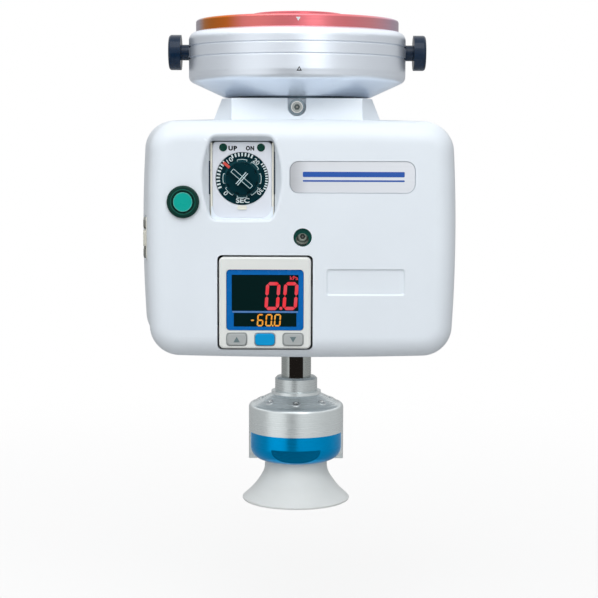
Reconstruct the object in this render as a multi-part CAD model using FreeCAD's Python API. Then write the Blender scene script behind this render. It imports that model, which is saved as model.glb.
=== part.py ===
"""Electric vacuum gripper that hangs under a robot arm, in millimetres.

The origin is the centre of the robot mounting face and +Z points to the robot.
The controls are on the front, which faces -Y, and +X is to the right of someone who reads them.
From the top down: a manual tool changer with two push buttons, a neck, a two-part plastic housing
with a vacuum pump, valve, timer, sensor and start button, a suction rod, a pad holder and a silicone cup.
"""
import FreeCAD
import Part
import math
import os

# Robot plate, the red half of the tool changer
plate_radius = 35.0
plate_thickness = 4.0
plate_edge_round = 0.8
pilot_radius = 15.75
pilot_height = 2.3
pilot_chamfer = 0.4
flange_bolt_circle = 50.0
flange_bolt_count = 4
flange_hole_radius = 3.3
flange_sink_radius = 6.2
dowel_radius = 3.0
register_radius = 32.0
register_depth = 2.0
register_clearance = 0.2

# Lock plug under the robot plate
plug_radius = 16.0
plug_groove_depth = 2.5
plug_flange_width = 2.2
plug_flange_thickness = 3.2
plug_tip_length = 3.6
plug_tip_chamfer = 1.0
plug_screw_circle_radius = 11.0
plug_screw_count = 4
plug_screw_radius = 2.0
plug_screw_head_radius = 3.8
plug_screw_length = 9.0

# Changer body and base, the silver half
changer_radius = 37.5
changer_top_radius = 34.8
changer_height = 15.1
changer_shoulder_height = 3.0
changer_groove_depths = (5.1, 9.0)
changer_groove_width = 0.7
changer_groove_cut = 0.5
changer_web = 1.7
changer_bottom_radius = 25.5
changer_cone_height = 7.1
changer_seam_round = 2.5
slide_pocket_radius = 31.0
base_thread_clearance = 0.1

# Release buttons and the two lock slides that they push
button_head_radius = 6.05
button_head_thickness = 4.2
button_head_round = 1.0
button_standout = 6.9
button_stem_radius = 2.7
button_stem_clearance = 0.08
release_travel = 2.0
slide_thickness = 2.7
slide_gap = 0.15
slide_ring_band = 4.7
slide_hole_clearance = 0.3
slide_bar_half_width = 7.0
slide_tab_thickness = 3.6
ear_gap = 1.1
ear_half_width = 2.2
ear_thickness = 3.0
slide_spring_space = 8.0
slide_spring_radius = 1.6
slide_spring_wire = 0.3
slide_spring_turns = 3

# Neck and hub between the changer and the housing
neck_gap = 0.85
neck_height = 6.6
neck_front_half_width = 21.7
neck_top_half_width = 25.4
neck_bottom_half_width = 27.9
neck_top_half_depth = 24.0
neck_bottom_half_depth = 26.0
neck_facet_depth = 10.0
hub_radius = 20.0
hub_clearance = 0.3
hub_wire_hole_radius = 8.0
hub_screw_circle_radius = 14.0
hub_screw_count = 4
hub_screw_radius = 2.5
hub_screw_head_radius = 4.6
hub_screw_grip = 6.0

# Housing: front and rear covers, wider on the right than on the left at the parting line
body_height = 79.5
parting_left = 50.6
parting_right = 53.6
parting_step = 0.3
front_side_draft = 1.6
bulge_left = 4.2
bulge_right = 1.4
rear_side_draft = 1.7
front_height_draft = 0.8
rear_height_draft = 0.8
front_depth = 40.0
parting_depth = 8.0
bulge_depth = -10.0
rear_depth = -38.0
body_corner_radius = 10.0
side_crown_radius = 500.0
top_crown_radius = 1500.0
front_edge_radius = 7.0
rear_edge_radius = 8.5
wall = 2.2
part_fit = 0.05
lip_length = 2.0
lip_clearance = 0.1

# Chassis, a folded sheet with a pillar for the cover screws
sheet = 3.0
bend_radius = 2.0
chassis_top_gap = 1.8
chassis_bottom_gap = 2.9
chassis_left = -38.0
chassis_right = 41.0
chassis_rear_gap = 5.8
chassis_top_front = -18.0
chassis_bottom_front = -13.0
chassis_wing_front = 2.0
pillar_radius = 4.0
pillar_front = -28.0

# Cover screws: one at the neck and one in the face, front and rear
cover_screw_x = 2.0
cover_screw_drop = 38.8
cover_screw_radius = 1.25
cover_screw_length = 8.0
cover_screw_head_radius = 2.0
cover_screw_head_height = 2.0
cover_screw_hole_clearance = 0.2
cover_screw_socket_radius = 1.0
cover_screw_socket_depth = 1.1
screw_seat_thickness = 2.5
face_screw_bore_radius = 3.0
face_boss_wall = 1.8
neck_screw_drop = 2.9
neck_notch_radius = 3.1

# Name plate and label recess on the face
name_plate_x = 18.1
name_plate_drop = 19.25
name_plate_width = 40.6
name_plate_height = 10.2
name_plate_corner = 2.9
name_plate_thickness = 0.6
name_plate_recess = 0.9
name_plate_clearance = 0.1
name_plate_edge_round = 0.15
label_x = 22.6
label_drop = 53.4
label_width = 25.6
label_height = 8.8
label_corner = 0.9
label_recess = 0.6

# Timer with dial and knob
timer_x = -17.8
timer_drop = 20.35
timer_width = 19.4
timer_height = 24.8
timer_corner = 1.4
timer_edge_round = 0.4
timer_recess = 4.0
timer_depth = 44.0
timer_clearance = 0.3
dial_rise = 0.5
dial_radius = 8.6
dial_recess = 0.8
dial_thickness = 0.5
dial_clearance = 0.1
knob_radius = 5.4
knob_edge_round = 0.3
knob_gap = 0.5
knob_base_height = 1.3
knob_bar_height = 1.2
knob_bar_width = 2.4
knob_notch_count = 8
knob_notch_width = 1.3
knob_notch_depth = 0.7
knob_slot_width = 0.8
knob_shaft_radius = 1.5
knob_shaft_clearance = 0.06
knob_shaft_length = 6.0
pointer_angle = 139.0
pointer_reach = 8.0
pointer_width = 0.9
pointer_thickness = 0.3
lamp_radius = 1.3
lamp_spread = 6.15
lamp_rise = 10.6
lamp_height = 1.2
lamp_proud = 0.2
clip_thickness = 0.6
clip_height = 14.0
clip_rise = 2.3
socket_margin = 0.2
scoop_side_flare = 3.3
scoop_end_flare = 1.15
scoop_rise = 0.85
scoop_corner = 3.0
scoop_side_crown = 27.0
scoop_mouth_round = 1.0

# Digital vacuum sensor
sensor_x = -10.2
sensor_drop = 60.2
sensor_size = 30.0
sensor_corner = 1.6
sensor_edge_round = 0.7
sensor_proud = 0.6
bezel_depth = 3.4
sensor_case_depth = 21.2
sensor_case_inset = 0.3
sensor_opening_margin = 0.6
window_side_margin = 2.45
window_top_margin = 4.15
window_bottom_margin = 6.05
window_recess = 0.4
window_thickness = 1.2
window_clearance = 0.1
key_pitch = 9.2
key_rise = 3.05
key_width = 6.4
key_height = 3.9
key_corner = 1.2
key_edge_round = 0.4
key_proud = 0.5
key_travel = 0.6
key_clearance = 0.3
key_flange = 0.5
key_flange_thickness = 0.6

# Start button
start_x = -36.8
start_drop = 27.35
start_bezel_radius = 5.3
start_bezel_height = 1.3
start_barrel_radius = 4.0
start_barrel_clearance = 0.1
start_barrel_length = 17.0
start_cap_radius = 3.15
start_cap_clearance = 0.3
start_cap_proud = 0.5
start_cap_edge_round = 0.3
start_cap_length = 5.0
start_travel = 1.5
start_end_gap = 0.5
start_stem_radius = 1.2
start_stem_clearance = 0.1
start_nut_flats = 10.0
start_boss_wall = 2.2
start_nut_thickness = 2.0

# Control board and its connector in the left side
board_thickness = 1.6
board_standoff = 5.4
board_front = -20.0
board_rear = 24.0
board_top_drop = 14.0
board_bottom_drop = 66.0
board_corner = 2.0
board_hole_inset = 4.0
chip_count = 3
chip_pitch = 10.0
chip_inset = 2.0
chip_length = 10.0
chip_width = 6.0
standoff_flats = 5.0
standoff_screw_radius = 1.25
io_drop = 41.25
io_shell_width = 9.0
io_shell_height = 5.4
io_shell_reach = 53.2
io_shell_wall = 0.6
io_cavity_depth = 4.0
io_flange_width = 10.0
io_flange_height = 14.6
io_flange_thickness = 1.2
io_flange_reach = 52.2
io_post_spread = 5.1
io_post_flats = 3.6
io_post_length = 1.2
io_clearance = 0.4

# Manifold, port nipples and release valve
manifold_half_width = 10.0
manifold_half_depth = 11.0
manifold_height = 14.0
block_edge_round = 1.0
port_rise = 10.8
port_radius = 1.6
nipple_radius = 2.5
nipple_depth = 3.0
rod_engagement = 8.0
sensor_port_x = -5.0
valve_gap = 3.0
valve_width = 15.0
valve_half_depth = 8.0
valve_body_height = 15.0
valve_coil_height = 13.0
valve_coil_radius = 6.5
valve_stem_radius = 2.5
valve_stem_rise = 1.5

# Free-piston vacuum pump
pump_x = 26.0
pump_y = 2.0
pump_width = 30.0
pump_depth = 28.0
pump_corner = 3.0
pump_head_height = 14.0
pump_chamber_radius = 9.0
pump_chamber_depth = 6.0
valve_plate_thickness = 1.5
cylinder_height = 14.0
cylinder_bore_radius = 9.0
piston_clearance = 0.4
seal_clearance = 0.06
piston_height = 6.0
piston_rod_radius = 2.5
piston_rod_clearance = 0.08
seal_height = 1.8
seal_depth = 1.4
frame_sheet = 2.5
frame_height = 32.5
armature_radius = 7.0
armature_height = 12.0
core_gap = 0.8
core_height = 20.0
core_half_depth = 6.0
coil_wall = 1.6
pump_spring_radius = 5.0
pump_spring_wire = 0.5
pump_spring_turns = 3
bolt_inset = 5.4
bolt_floor = 3.0
bolt_radius = 1.5
bolt_head_radius = 2.6
bolt_head_height = 1.8
bolt_hole_clearance = 0.1

# Suction rod and its locknut
rod_exposed = 10.8
rod_radius = 5.25
rod_bore_radius = 2.5
rod_flat_half_width = 4.7
rod_hole_clearance = 0.4
rod_spigot_radius = 4.0
rod_spigot_length = 9.0
locknut_flats = 16.0
locknut_thickness = 2.6

# Pad holder under the rod
collar_radius = 7.45
collar_height = 5.05
collar_chamfer = 0.7
step_ring_radius = 8.75
step_ring_height = 1.05
holder_cone_radius = 15.4
holder_cone_height = 3.25
holder_radius = 16.75
holder_round_height = 1.8
holder_height = 8.1
holder_spigot_radius = 6.9
holder_spigot_length = 8.4
vacuum_bore_radius = 3.0
relief_hole_count = 8
relief_hole_radius = 1.2
relief_hole_circle = 12.8
relief_hole_depth = 2.0
relief_hole_start = -90.0
lug_half_width = 4.2
lug_inner_radius = 13.6
lug_length = 9.9
lug_round = 2.0
filter_thickness = 1.0
filter_radius = 5.5

# Pad ring and silicone cup
ring_radius = 16.45
ring_height = 10.3
ring_round = 5.2
ring_flat_distance = 14.1
ring_flat_height = 5.6
ring_clearance = 0.1
cup_neck_radius = 10.9
cup_neck_length = 5.2
cup_lip_radius = 18.95
cup_height = 14.5
cup_wall = 1.1
cup_ceiling = 1.6
cup_waist_drop = 4.4
cup_waist_radius = 11.45
cup_flare_drop = 8.6
cup_flare_radius = 14.0
cup_skirt_drop = 11.3
cup_skirt_radius = 16.35
cup_lip_height = 0.8

# Cutting tools run this far past the faces that they open
overshoot = 1.0

V = FreeCAD.Vector
RIGHT = V(1, 0, 0)
BACK = V(0, 1, 0)
UP = V(0, 0, 1)

# Levels of the stack, worked down from the robot mounting face
z_changer_top = -plate_thickness
z_register = z_changer_top - register_depth
z_web = z_register - register_clearance
z_pocket = z_web - changer_web
z_slide_high = z_pocket - slide_gap
z_slide_low = z_slide_high - slide_thickness - slide_gap
z_pocket_floor = z_slide_low - slide_thickness - slide_gap
z_button = (z_pocket + z_pocket_floor) / 2
z_plug_tip = z_pocket_floor - plug_tip_length
z_seam = z_changer_top - changer_height
z_changer_bottom = z_seam - changer_cone_height
z_neck = z_changer_bottom - neck_gap
z_body_top = z_neck - neck_height
z_body_bottom = z_body_top - body_height
z_body_middle = (z_body_top + z_body_bottom) / 2
z_chassis_top = z_body_top - wall - chassis_top_gap
z_chassis_floor = z_body_bottom + wall + chassis_bottom_gap + sheet
z_collar = z_body_bottom - rod_exposed
z_step_ring = z_collar - collar_height
z_cone = z_step_ring - step_ring_height
z_holder_round = z_cone - holder_cone_height
z_holder_side = z_holder_round - holder_round_height
z_ring = z_holder_side - holder_height
z_cup = z_ring - ring_height
z_lip = z_cup - cup_height

# Depths and places worked out from the housing
y_front = -front_depth
y_parting = -parting_depth
y_rear = -rear_depth
y_chassis_rear = y_rear - wall - chassis_rear_gap
z_cover_screw = z_body_top - cover_screw_drop
z_neck_screw = z_neck - neck_screw_drop
z_timer = z_body_top - timer_drop
z_dial = z_timer + dial_rise
z_scoop = z_timer + scoop_rise
y_timer = y_front + timer_recess
y_dial = y_timer + dial_recess
z_sensor = z_body_top - sensor_drop
z_window = z_sensor + (window_bottom_margin - window_top_margin) / 2
z_keys = z_sensor - sensor_size / 2 + key_rise
window_width = sensor_size - 2 * window_side_margin
window_height = sensor_size - window_top_margin - window_bottom_margin
y_bezel = y_front - sensor_proud
y_sensor_case = y_bezel + bezel_depth
z_start = z_body_top - start_drop
z_io = z_body_top - io_drop
io_depth = y_parting + io_clearance + io_flange_width / 2
x_board = chassis_left - board_standoff
z_port = z_chassis_floor + port_rise
z_pump_plate = z_chassis_floor + pump_head_height
z_cylinder = z_pump_plate + valve_plate_thickness
z_pump_frame = z_cylinder + cylinder_height
z_frame_floor = z_pump_frame + frame_sheet
z_frame_top = z_pump_frame + frame_height
z_armature = (z_frame_floor + z_frame_top - frame_sheet - armature_height) / 2
z_piston = z_cylinder + (cylinder_height - piston_height) / 2

# Sizes that follow from their neighbours
plug_groove_radius = plug_radius - plug_groove_depth
plug_flange_radius = plug_radius + plug_flange_width
button_reach = changer_radius + button_standout
slide_hole_radius = plug_radius + slide_hole_clearance
ear_offset = slide_hole_radius + slide_ring_band + ear_gap + ear_half_width
scoop_half_width = timer_width / 2 + scoop_side_flare
scoop_half_height = timer_height / 2 + scoop_end_flare
rear_reach = max(parting_left + bulge_left, parting_right + bulge_right)


def pin_x(radius, x0, x1, y, z):
    return Part.makeCylinder(radius, x1 - x0, V(x0, y, z), RIGHT)


def pin_y(radius, y0, y1, x, z):
    return Part.makeCylinder(radius, y1 - y0, V(x, y0, z), BACK)


def pin_z(radius, z0, z1, x=0.0, y=0.0):
    return Part.makeCylinder(radius, z1 - z0, V(x, y, z0), UP)


def taper_z(r0, r1, z0, z1, x=0.0, y=0.0):
    return Part.makeCone(r0, r1, z1 - z0, V(x, y, z0), UP)


def block(x0, x1, y0, y1, z0, z1):
    return Part.makeBox(x1 - x0, y1 - y0, z1 - z0, V(x0, y0, z0))


def edges_along(shape, axis):
    """Straight edges of a shape that run along one axis."""
    picked = []
    for edge in shape.Edges:
        if len(edge.Vertexes) == 2:
            run = edge.Vertexes[1].Point - edge.Vertexes[0].Point
            if run.Length > 0 and abs(run.dot(axis)) > 0.999 * run.Length:
                picked.append(edge)
    return picked


def soft_block(bounds, radius, axis):
    """Block whose edges along one axis are rounded."""
    body = block(*bounds)
    return body.makeFillet(radius, edges_along(body, axis))


def face_block(x, z, width, height, radius, y0, y1):
    """Rounded rectangle on the face, centred on x and z, that runs from depth y0 to y1."""
    return soft_block((x - width / 2, x + width / 2, y0, y1, z - height / 2, z + height / 2), radius, BACK)


def rim_edges(shape, y):
    """Edges of a shape that lie in the plane at depth y."""
    return [edge for edge in shape.Edges if abs(edge.BoundBox.YMin - y) + abs(edge.BoundBox.YMax - y) < 1e-4]


def softened(shape, y, radius):
    """Rounds the edges of a shape that lie in the plane at depth y."""
    return shape.makeFillet(radius, rim_edges(shape, y))


def joined(*shapes):
    return shapes[0].multiFuse(list(shapes[1:])).removeSplitter()


def carved(shape, cuts):
    """Takes each cut out of a shape in turn."""
    for cut in cuts:
        shape = shape.cut(cut)
    return shape


def group(shapes):
    return Part.makeCompound(list(shapes))


def around(count, radius, first_angle=0.0):
    """Evenly spaced points on a circle about the Z axis."""
    places = []
    for number in range(count):
        angle = math.radians(first_angle + 360.0 * number / count)
        places.append((radius * math.cos(angle), radius * math.sin(angle)))
    return places


def outline(start, *steps):
    """Face in the XZ plane: a step is a point for a line, or (through, point) for an arc."""
    edges = []
    here = V(start[0], 0, start[1])
    for step in steps + (start,):
        if isinstance(step[0], tuple):
            through = V(step[0][0], 0, step[0][1])
            there = V(step[1][0], 0, step[1][1])
            edges.append(Part.Arc(here, through, there).toShape())
        else:
            there = V(step[0], 0, step[1])
            edges.append(Part.makeLine(here, there))
        here = there
    return Part.Face(Part.Wire(edges))


def turned(start, *steps):
    """Solid of revolution about the Z axis from an outline of (radius, height) points."""
    return outline(start, *steps).revolve(V(0, 0, 0), UP, 360)


def quarter(centre, radius_x, radius_z, angle):
    """Point on a rounding at an angle, for the middle of an arc."""
    turn = math.radians(angle)
    return (centre[0] + radius_x * math.cos(turn), centre[1] + radius_z * math.sin(turn))


def hexagon(flats, start, axis, length):
    """Hexagonal prism with two flats square to the first side direction."""
    side = UP if abs(axis.dot(UP)) < 0.5 else BACK
    across = axis.cross(side)
    corner = flats / math.sqrt(3)
    points = []
    for number in range(7):
        angle = math.radians(60.0 * number)
        points.append(V(*start) + side * (corner * math.cos(angle)) + across * (corner * math.sin(angle)))
    return Part.Face(Part.makePolygon(points)).extrude(axis * length)


def coil_spring(radius, wire, turns, z0, z1, x, y):
    """Compression spring of six-sided wire that stands along Z between two seats."""
    pitch = (z1 - z0 - 2 * wire) / turns
    path = Part.makeHelix(pitch, pitch * turns, radius)
    corners = []
    for number in range(7):
        angle = math.radians(60.0 * number + 30.0)
        corners.append(V(radius + wire * math.cos(angle), 0, wire * math.sin(angle)))
    section = Part.makePolygon(corners)
    spring = Part.Wire(path).makePipeShell([section], True, True)
    spring.translate(V(x, y, z0 + wire))
    return spring


def cap_screw(radius, length, head_radius, head_height, seat, axis):
    """Socket head screw: the head sits on the seat point and the shank runs along the axis."""
    foot = V(*seat)
    shank = Part.makeCylinder(radius, length, foot, axis)
    head = Part.makeCylinder(head_radius, head_height, foot - axis * head_height, axis)
    top = foot - axis * head_height
    socket = hexagon(2 * cover_screw_socket_radius, tuple(top), axis, cover_screw_socket_depth)
    return joined(shank, head).cut(socket)


def countersunk_screw(radius, length, head_radius, z_face, direction, x, y):
    """Flat head screw whose head is flush with z_face and whose shank runs up (+1) or down (-1)."""
    sink = head_radius - radius
    axis = UP * direction
    head = Part.makeCone(head_radius, radius, sink, V(x, y, z_face), axis)
    shank = Part.makeCylinder(radius, length, V(x, y, z_face), axis)
    socket = hexagon(2 * cover_screw_socket_radius, (x, y, z_face), axis, cover_screw_socket_depth)
    return joined(head, shank).cut(socket)


def robot_plate():
    """Red plate with the pilot boss and the robot's bolt circle, and a register step below."""
    edge = plate_edge_round
    rim_top = quarter((plate_radius - edge, -edge), edge, edge, 45)
    plug_seat = z_register + plug_flange_thickness
    plate = turned(
        (0, pilot_height),
        (pilot_radius - pilot_chamfer, pilot_height),
        (pilot_radius, pilot_height - pilot_chamfer),
        (pilot_radius, 0),
        (plate_radius - edge, 0),
        (rim_top, (plate_radius, -edge)),
        (plate_radius, z_changer_top),
        (register_radius, z_changer_top),
        (register_radius, z_register),
        (plug_flange_radius, z_register),
        (plug_flange_radius, plug_seat),
        (0, plug_seat),
    )
    sink = flange_sink_radius - flange_hole_radius
    holes = []
    for x, y in around(flange_bolt_count, flange_bolt_circle / 2, 45):
        holes.append(pin_z(flange_hole_radius, z_register, 0, x, y))
        holes.append(taper_z(flange_sink_radius, flange_hole_radius, z_register, z_register + sink, x, y))
    holes.append(pin_z(dowel_radius, z_register, 0, 0, flange_bolt_circle / 2))
    head_sink = plug_screw_head_radius - plug_screw_radius
    for x, y in around(plug_screw_count, plug_screw_circle_radius):
        holes.append(pin_z(plug_screw_radius, plug_seat, pilot_height, x, y))
        low = pilot_height - head_sink
        holes.append(taper_z(plug_screw_radius, plug_screw_head_radius, low, pilot_height, x, y))
    return plate.cut(holes)


def lock_plug():
    """Steel plug whose groove the lock slides catch."""
    top = z_register + plug_flange_thickness
    plug = turned(
        (0, top),
        (plug_flange_radius, top),
        (plug_flange_radius, z_register),
        (plug_radius, z_register),
        (plug_radius, z_slide_high + slide_gap),
        (plug_groove_radius, z_slide_high + slide_gap),
        (plug_groove_radius, z_pocket_floor),
        (plug_radius, z_pocket_floor),
        (plug_radius, z_plug_tip + plug_tip_chamfer),
        (plug_radius - plug_tip_chamfer, z_plug_tip),
        (0, z_plug_tip),
    )
    bottom = pilot_height - plug_screw_length
    holes = []
    for x, y in around(plug_screw_count, plug_screw_circle_radius):
        holes.append(pin_z(plug_screw_radius, bottom, top, x, y))
    return plug.cut(holes)


def plug_screws():
    radius = plug_screw_radius
    head = plug_screw_head_radius
    screws = []
    for x, y in around(plug_screw_count, plug_screw_circle_radius):
        screws.append(countersunk_screw(radius, plug_screw_length, head, pilot_height, -1, x, y))
    return group(screws)


def changer_body():
    """Turned aluminium ring with two grooves, a guide web and the pocket for the lock slides."""
    shoulder_low = z_changer_top - changer_shoulder_height
    shoulder = quarter(
        (changer_top_radius, shoulder_low), changer_radius - changer_top_radius, changer_shoulder_height, 45
    )
    bore = plug_radius + register_clearance
    recess = register_radius + register_clearance
    body = turned(
        (recess, z_changer_top),
        (changer_top_radius, z_changer_top),
        (shoulder, (changer_radius, shoulder_low)),
        (changer_radius, z_seam),
        (slide_pocket_radius, z_seam),
        (slide_pocket_radius, z_pocket),
        (bore, z_pocket),
        (bore, z_web),
        (recess, z_web),
    )
    floor = changer_radius - changer_groove_cut
    outside = changer_radius + overshoot
    for depth in changer_groove_depths:
        high = z_changer_top - depth + changer_groove_width / 2
        low = high - changer_groove_width
        body = body.cut(turned((floor, high), (outside, high), (outside, low), (floor, low)))
    hole = button_stem_radius + button_stem_clearance
    reach = changer_radius + overshoot
    return body.cut(pin_x(hole, -reach, reach, 0, z_button))


def changer_base():
    """Cone that screws into the changer body from below and closes the slide pocket.

    A rounding leaves the body's side at the seam and runs tangent into the cone.
    """
    boss = slide_pocket_radius - base_thread_clearance
    recess = plug_radius + register_clearance
    soft = changer_seam_round
    centre = (changer_radius - soft, z_seam)
    run_x = changer_bottom_radius - centre[0]
    run_z = z_changer_bottom - centre[1]
    lean = math.degrees(math.atan2(run_z, run_x) + math.acos(soft / math.hypot(run_x, run_z)))
    seam_round = quarter(centre, soft, soft, lean / 2)
    cone_start = quarter(centre, soft, soft, lean)
    base = turned(
        (recess, z_pocket_floor),
        (boss, z_pocket_floor),
        (boss, z_seam),
        (changer_radius, z_seam),
        (seam_round, cone_start),
        (changer_bottom_radius, z_changer_bottom),
        (0, z_changer_bottom),
        (0, z_plug_tip - register_clearance),
        (recess, z_plug_tip - register_clearance),
    )
    holes = []
    for x, y in around(hub_screw_count, hub_screw_circle_radius, 45):
        holes.append(pin_z(hub_screw_radius, z_changer_bottom, z_changer_bottom + hub_screw_grip, x, y))
    return base.cut(holes)


def slide_tab_reach():
    """Distance from the axis to the outer face of a slide's end tab."""
    return math.sqrt(slide_pocket_radius**2 - slide_bar_half_width**2) - register_clearance


def release_button(side):
    """Round push button on a stem that meets the end tab of its slide."""
    inner = button_reach - button_head_thickness
    head = pin_x(button_head_radius, inner, button_reach, 0, z_button)
    rims = [edge for edge in head.Edges if abs(edge.BoundBox.XMin - button_reach) < 1e-6]
    head = head.makeFillet(button_head_round, rims)
    stem = pin_x(button_stem_radius, slide_tab_reach(), inner, 0, z_button)
    button = joined(head, stem)
    if side < 0:
        button = button.mirror(V(0, 0, 0), RIGHT)
    return button


def lock_slide(side):
    """Ring plate that a button moves inwards: at rest its far edge sits in the plug's groove."""
    z0 = z_slide_low if side > 0 else z_slide_high
    z0 = z0 - slide_thickness
    z1 = z0 + slide_thickness
    tab_low = z_pocket_floor + slide_gap
    tab_high = z_pocket - slide_gap
    hole = slide_hole_radius
    rest = release_travel - slide_hole_clearance / 3
    reach = slide_tab_reach()
    ring = pin_z(hole + slide_ring_band, z0, z1, rest, 0)
    bar = block(rest, reach, -slide_bar_half_width, slide_bar_half_width, z0, z1)
    tab = block(
        reach - slide_tab_thickness, reach, -slide_bar_half_width, slide_bar_half_width, tab_low, tab_high
    )
    pieces = [bar, tab]
    near = slide_spring_space / 2
    inner = ear_offset - ear_half_width
    outer = ear_offset + ear_half_width
    for end in (-1, 1):
        low, high = sorted((end * inner, end * outer))
        pieces.append(block(near, near + ear_thickness, low, high, tab_low, tab_high))
        low, high = sorted((end * hole, end * outer))
        pieces.append(block(near, near + ear_thickness, low, high, z0, z1))
    slide = joined(ring, *pieces).cut(pin_z(hole, z0, z1, rest, 0))
    if side < 0:
        slide = slide.mirror(V(0, 0, 0), RIGHT)
    return slide


def slide_springs():
    """Two springs that push the lock slides apart, one in front and one behind the plug."""
    springs = []
    for end in (-1, 1):
        spring = coil_spring(
            slide_spring_radius, slide_spring_wire, slide_spring_turns,
            -slide_spring_space / 2, slide_spring_space / 2, 0, 0,
        )
        spring.rotate(V(0, 0, 0), BACK, 90)
        spring.translate(V(0, end * ear_offset, z_button))
        springs.append(spring)
    return group(springs)


def hub():
    """Dark disc that carries the chassis under the changer, with the front and rear neck screws."""
    disc = pin_z(hub_radius, z_chassis_top, z_changer_bottom)
    holes = [pin_z(hub_wire_hole_radius, z_chassis_top, z_changer_bottom - neck_gap)]
    for x, y in around(hub_screw_count, hub_screw_circle_radius, 45):
        holes.append(pin_z(hub_screw_radius, z_chassis_top, z_changer_bottom, x, y))
    seat = neck_screw_seat()
    holes.append(pin_y(cover_screw_radius, -seat, cover_screw_length - seat, 0, z_neck_screw))
    holes.append(pin_y(cover_screw_radius, seat - cover_screw_length, seat, 0, z_neck_screw))
    return disc.cut(holes)


def hub_screws():
    length = z_changer_bottom - z_chassis_top + sheet + hub_screw_grip
    face = z_chassis_top - sheet
    screws = []
    for x, y in around(hub_screw_count, hub_screw_circle_radius, 45):
        screws.append(countersunk_screw(hub_screw_radius, length, hub_screw_head_radius, face, 1, x, y))
    return group(screws)


def neck_screw_seat():
    """Depth of the seat under a neck screw's head, measured from the axis."""
    return hub_radius + hub_clearance + screw_seat_thickness - cover_screw_head_height


def corner_centre(half_width, half_height, corner, side_crown, top_crown):
    """Centre of a corner rounding that is tangent to a crowned side and a crowned top."""
    side_x = half_width - side_crown
    top_z = half_height - top_crown
    side_reach = side_crown - corner
    top_reach = top_crown - corner
    apart = math.hypot(side_x, top_z)
    along = (side_reach**2 - top_reach**2 + apart**2) / (2 * apart)
    off = math.sqrt(side_reach**2 - along**2)
    unit_x = -side_x / apart
    unit_z = top_z / apart
    return (side_x + along * unit_x - off * unit_z, along * unit_z + off * unit_x)


def side_marks(half_width, half_height, corner, side_crown, top_crown):
    """Start, middle and end of a corner rounding and the middle of the side beside it."""
    x, z = corner_centre(half_width, half_height, corner, side_crown, top_crown)
    side_angle = math.atan2(z, x - half_width + side_crown)
    top_angle = math.atan2(z - half_height + top_crown, x)
    marks = []
    for angle in (side_angle, (side_angle + top_angle) / 2, top_angle):
        marks.append((x + corner * math.cos(angle), z + corner * math.sin(angle)))
    return marks + [(half_width, 0.0)]


def crowned_outline(y, middle, left, right, half_height, corner, side_crown, top_crown):
    """Closed outline at depth y: four crowned sides with tangent round corners."""
    marks = {}
    for sign, half_width in ((-1, left), (1, right)):
        marks[sign] = side_marks(half_width, half_height, corner, side_crown, top_crown)

    def place(sign_x, number, sign_z):
        x, z = marks[sign_x][number]
        return V(middle[0] + sign_x * x, y, middle[1] + sign_z * z)

    low, bend, high, side = range(4)
    top = V(middle[0], y, middle[1] + half_height)
    bottom = V(middle[0], y, middle[1] - half_height)
    arcs = [
        (place(1, low, -1), place(1, side, 1), place(1, low, 1)),
        (place(1, low, 1), place(1, bend, 1), place(1, high, 1)),
        (place(1, high, 1), top, place(-1, high, 1)),
        (place(-1, high, 1), place(-1, bend, 1), place(-1, low, 1)),
        (place(-1, low, 1), place(-1, side, 1), place(-1, low, -1)),
        (place(-1, low, -1), place(-1, bend, -1), place(-1, high, -1)),
        (place(-1, high, -1), bottom, place(1, high, -1)),
        (place(1, high, -1), place(1, bend, -1), place(1, low, -1)),
    ]
    return Part.Wire([Part.Arc(*arc).toShape() for arc in arcs])


def housing_section(y, widen_left, widen_right, shorten, inset):
    """Outline of the housing at depth y: the parting outline made wider, lower and drawn in by an inset."""
    return crowned_outline(
        y, (0.0, z_body_middle), parting_left + widen_left - inset, parting_right + widen_right - inset,
        body_height / 2 - shorten - inset, body_corner_radius - inset, side_crown_radius, top_crown_radius,
    )


def front_form(inset):
    """Front half of the housing as a solid, drawn in by an inset for the inside of the wall."""
    face = y_front + inset
    sections = [
        housing_section(y_parting, 0, 0, 0, inset),
        housing_section(face, -front_side_draft, -front_side_draft, front_height_draft, inset),
    ]
    return softened(Part.makeLoft(sections, True, True), face, front_edge_radius - inset)


def rear_form(inset):
    """Rear half of the housing as a solid: its sides bulge behind the parting line."""
    back = y_rear - inset
    far_left = bulge_left - rear_side_draft
    far_right = bulge_right - rear_side_draft
    sections = [
        housing_section(y_parting, parting_step, parting_step, 0, inset),
        housing_section(-bulge_depth, bulge_left, bulge_right, 0, inset),
        housing_section(back, far_left, far_right, rear_height_draft, inset),
    ]
    return softened(Part.makeLoft(sections, True, False), back, rear_edge_radius - inset)


def neck_form(inset, z_low, z_high):
    """Eight-sided tapering neck between two heights, drawn in by an inset."""
    wires = []
    for z in (z_low, z_high):
        share = (z_neck - z) / neck_height
        half_width = neck_top_half_width + share * (neck_bottom_half_width - neck_top_half_width) - inset
        half_depth = neck_top_half_depth + share * (neck_bottom_half_depth - neck_top_half_depth) - inset
        front = neck_front_half_width - inset
        facet = half_depth - neck_facet_depth
        corners = [
            (front, -half_depth), (half_width, -facet), (half_width, facet), (front, half_depth),
            (-front, half_depth), (-half_width, facet), (-half_width, -facet), (-front, -half_depth),
            (front, -half_depth),
        ]
        wires.append(Part.makePolygon([V(x, y, z) for x, y in corners]))
    return Part.makeLoft(wires, True, True)


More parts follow.
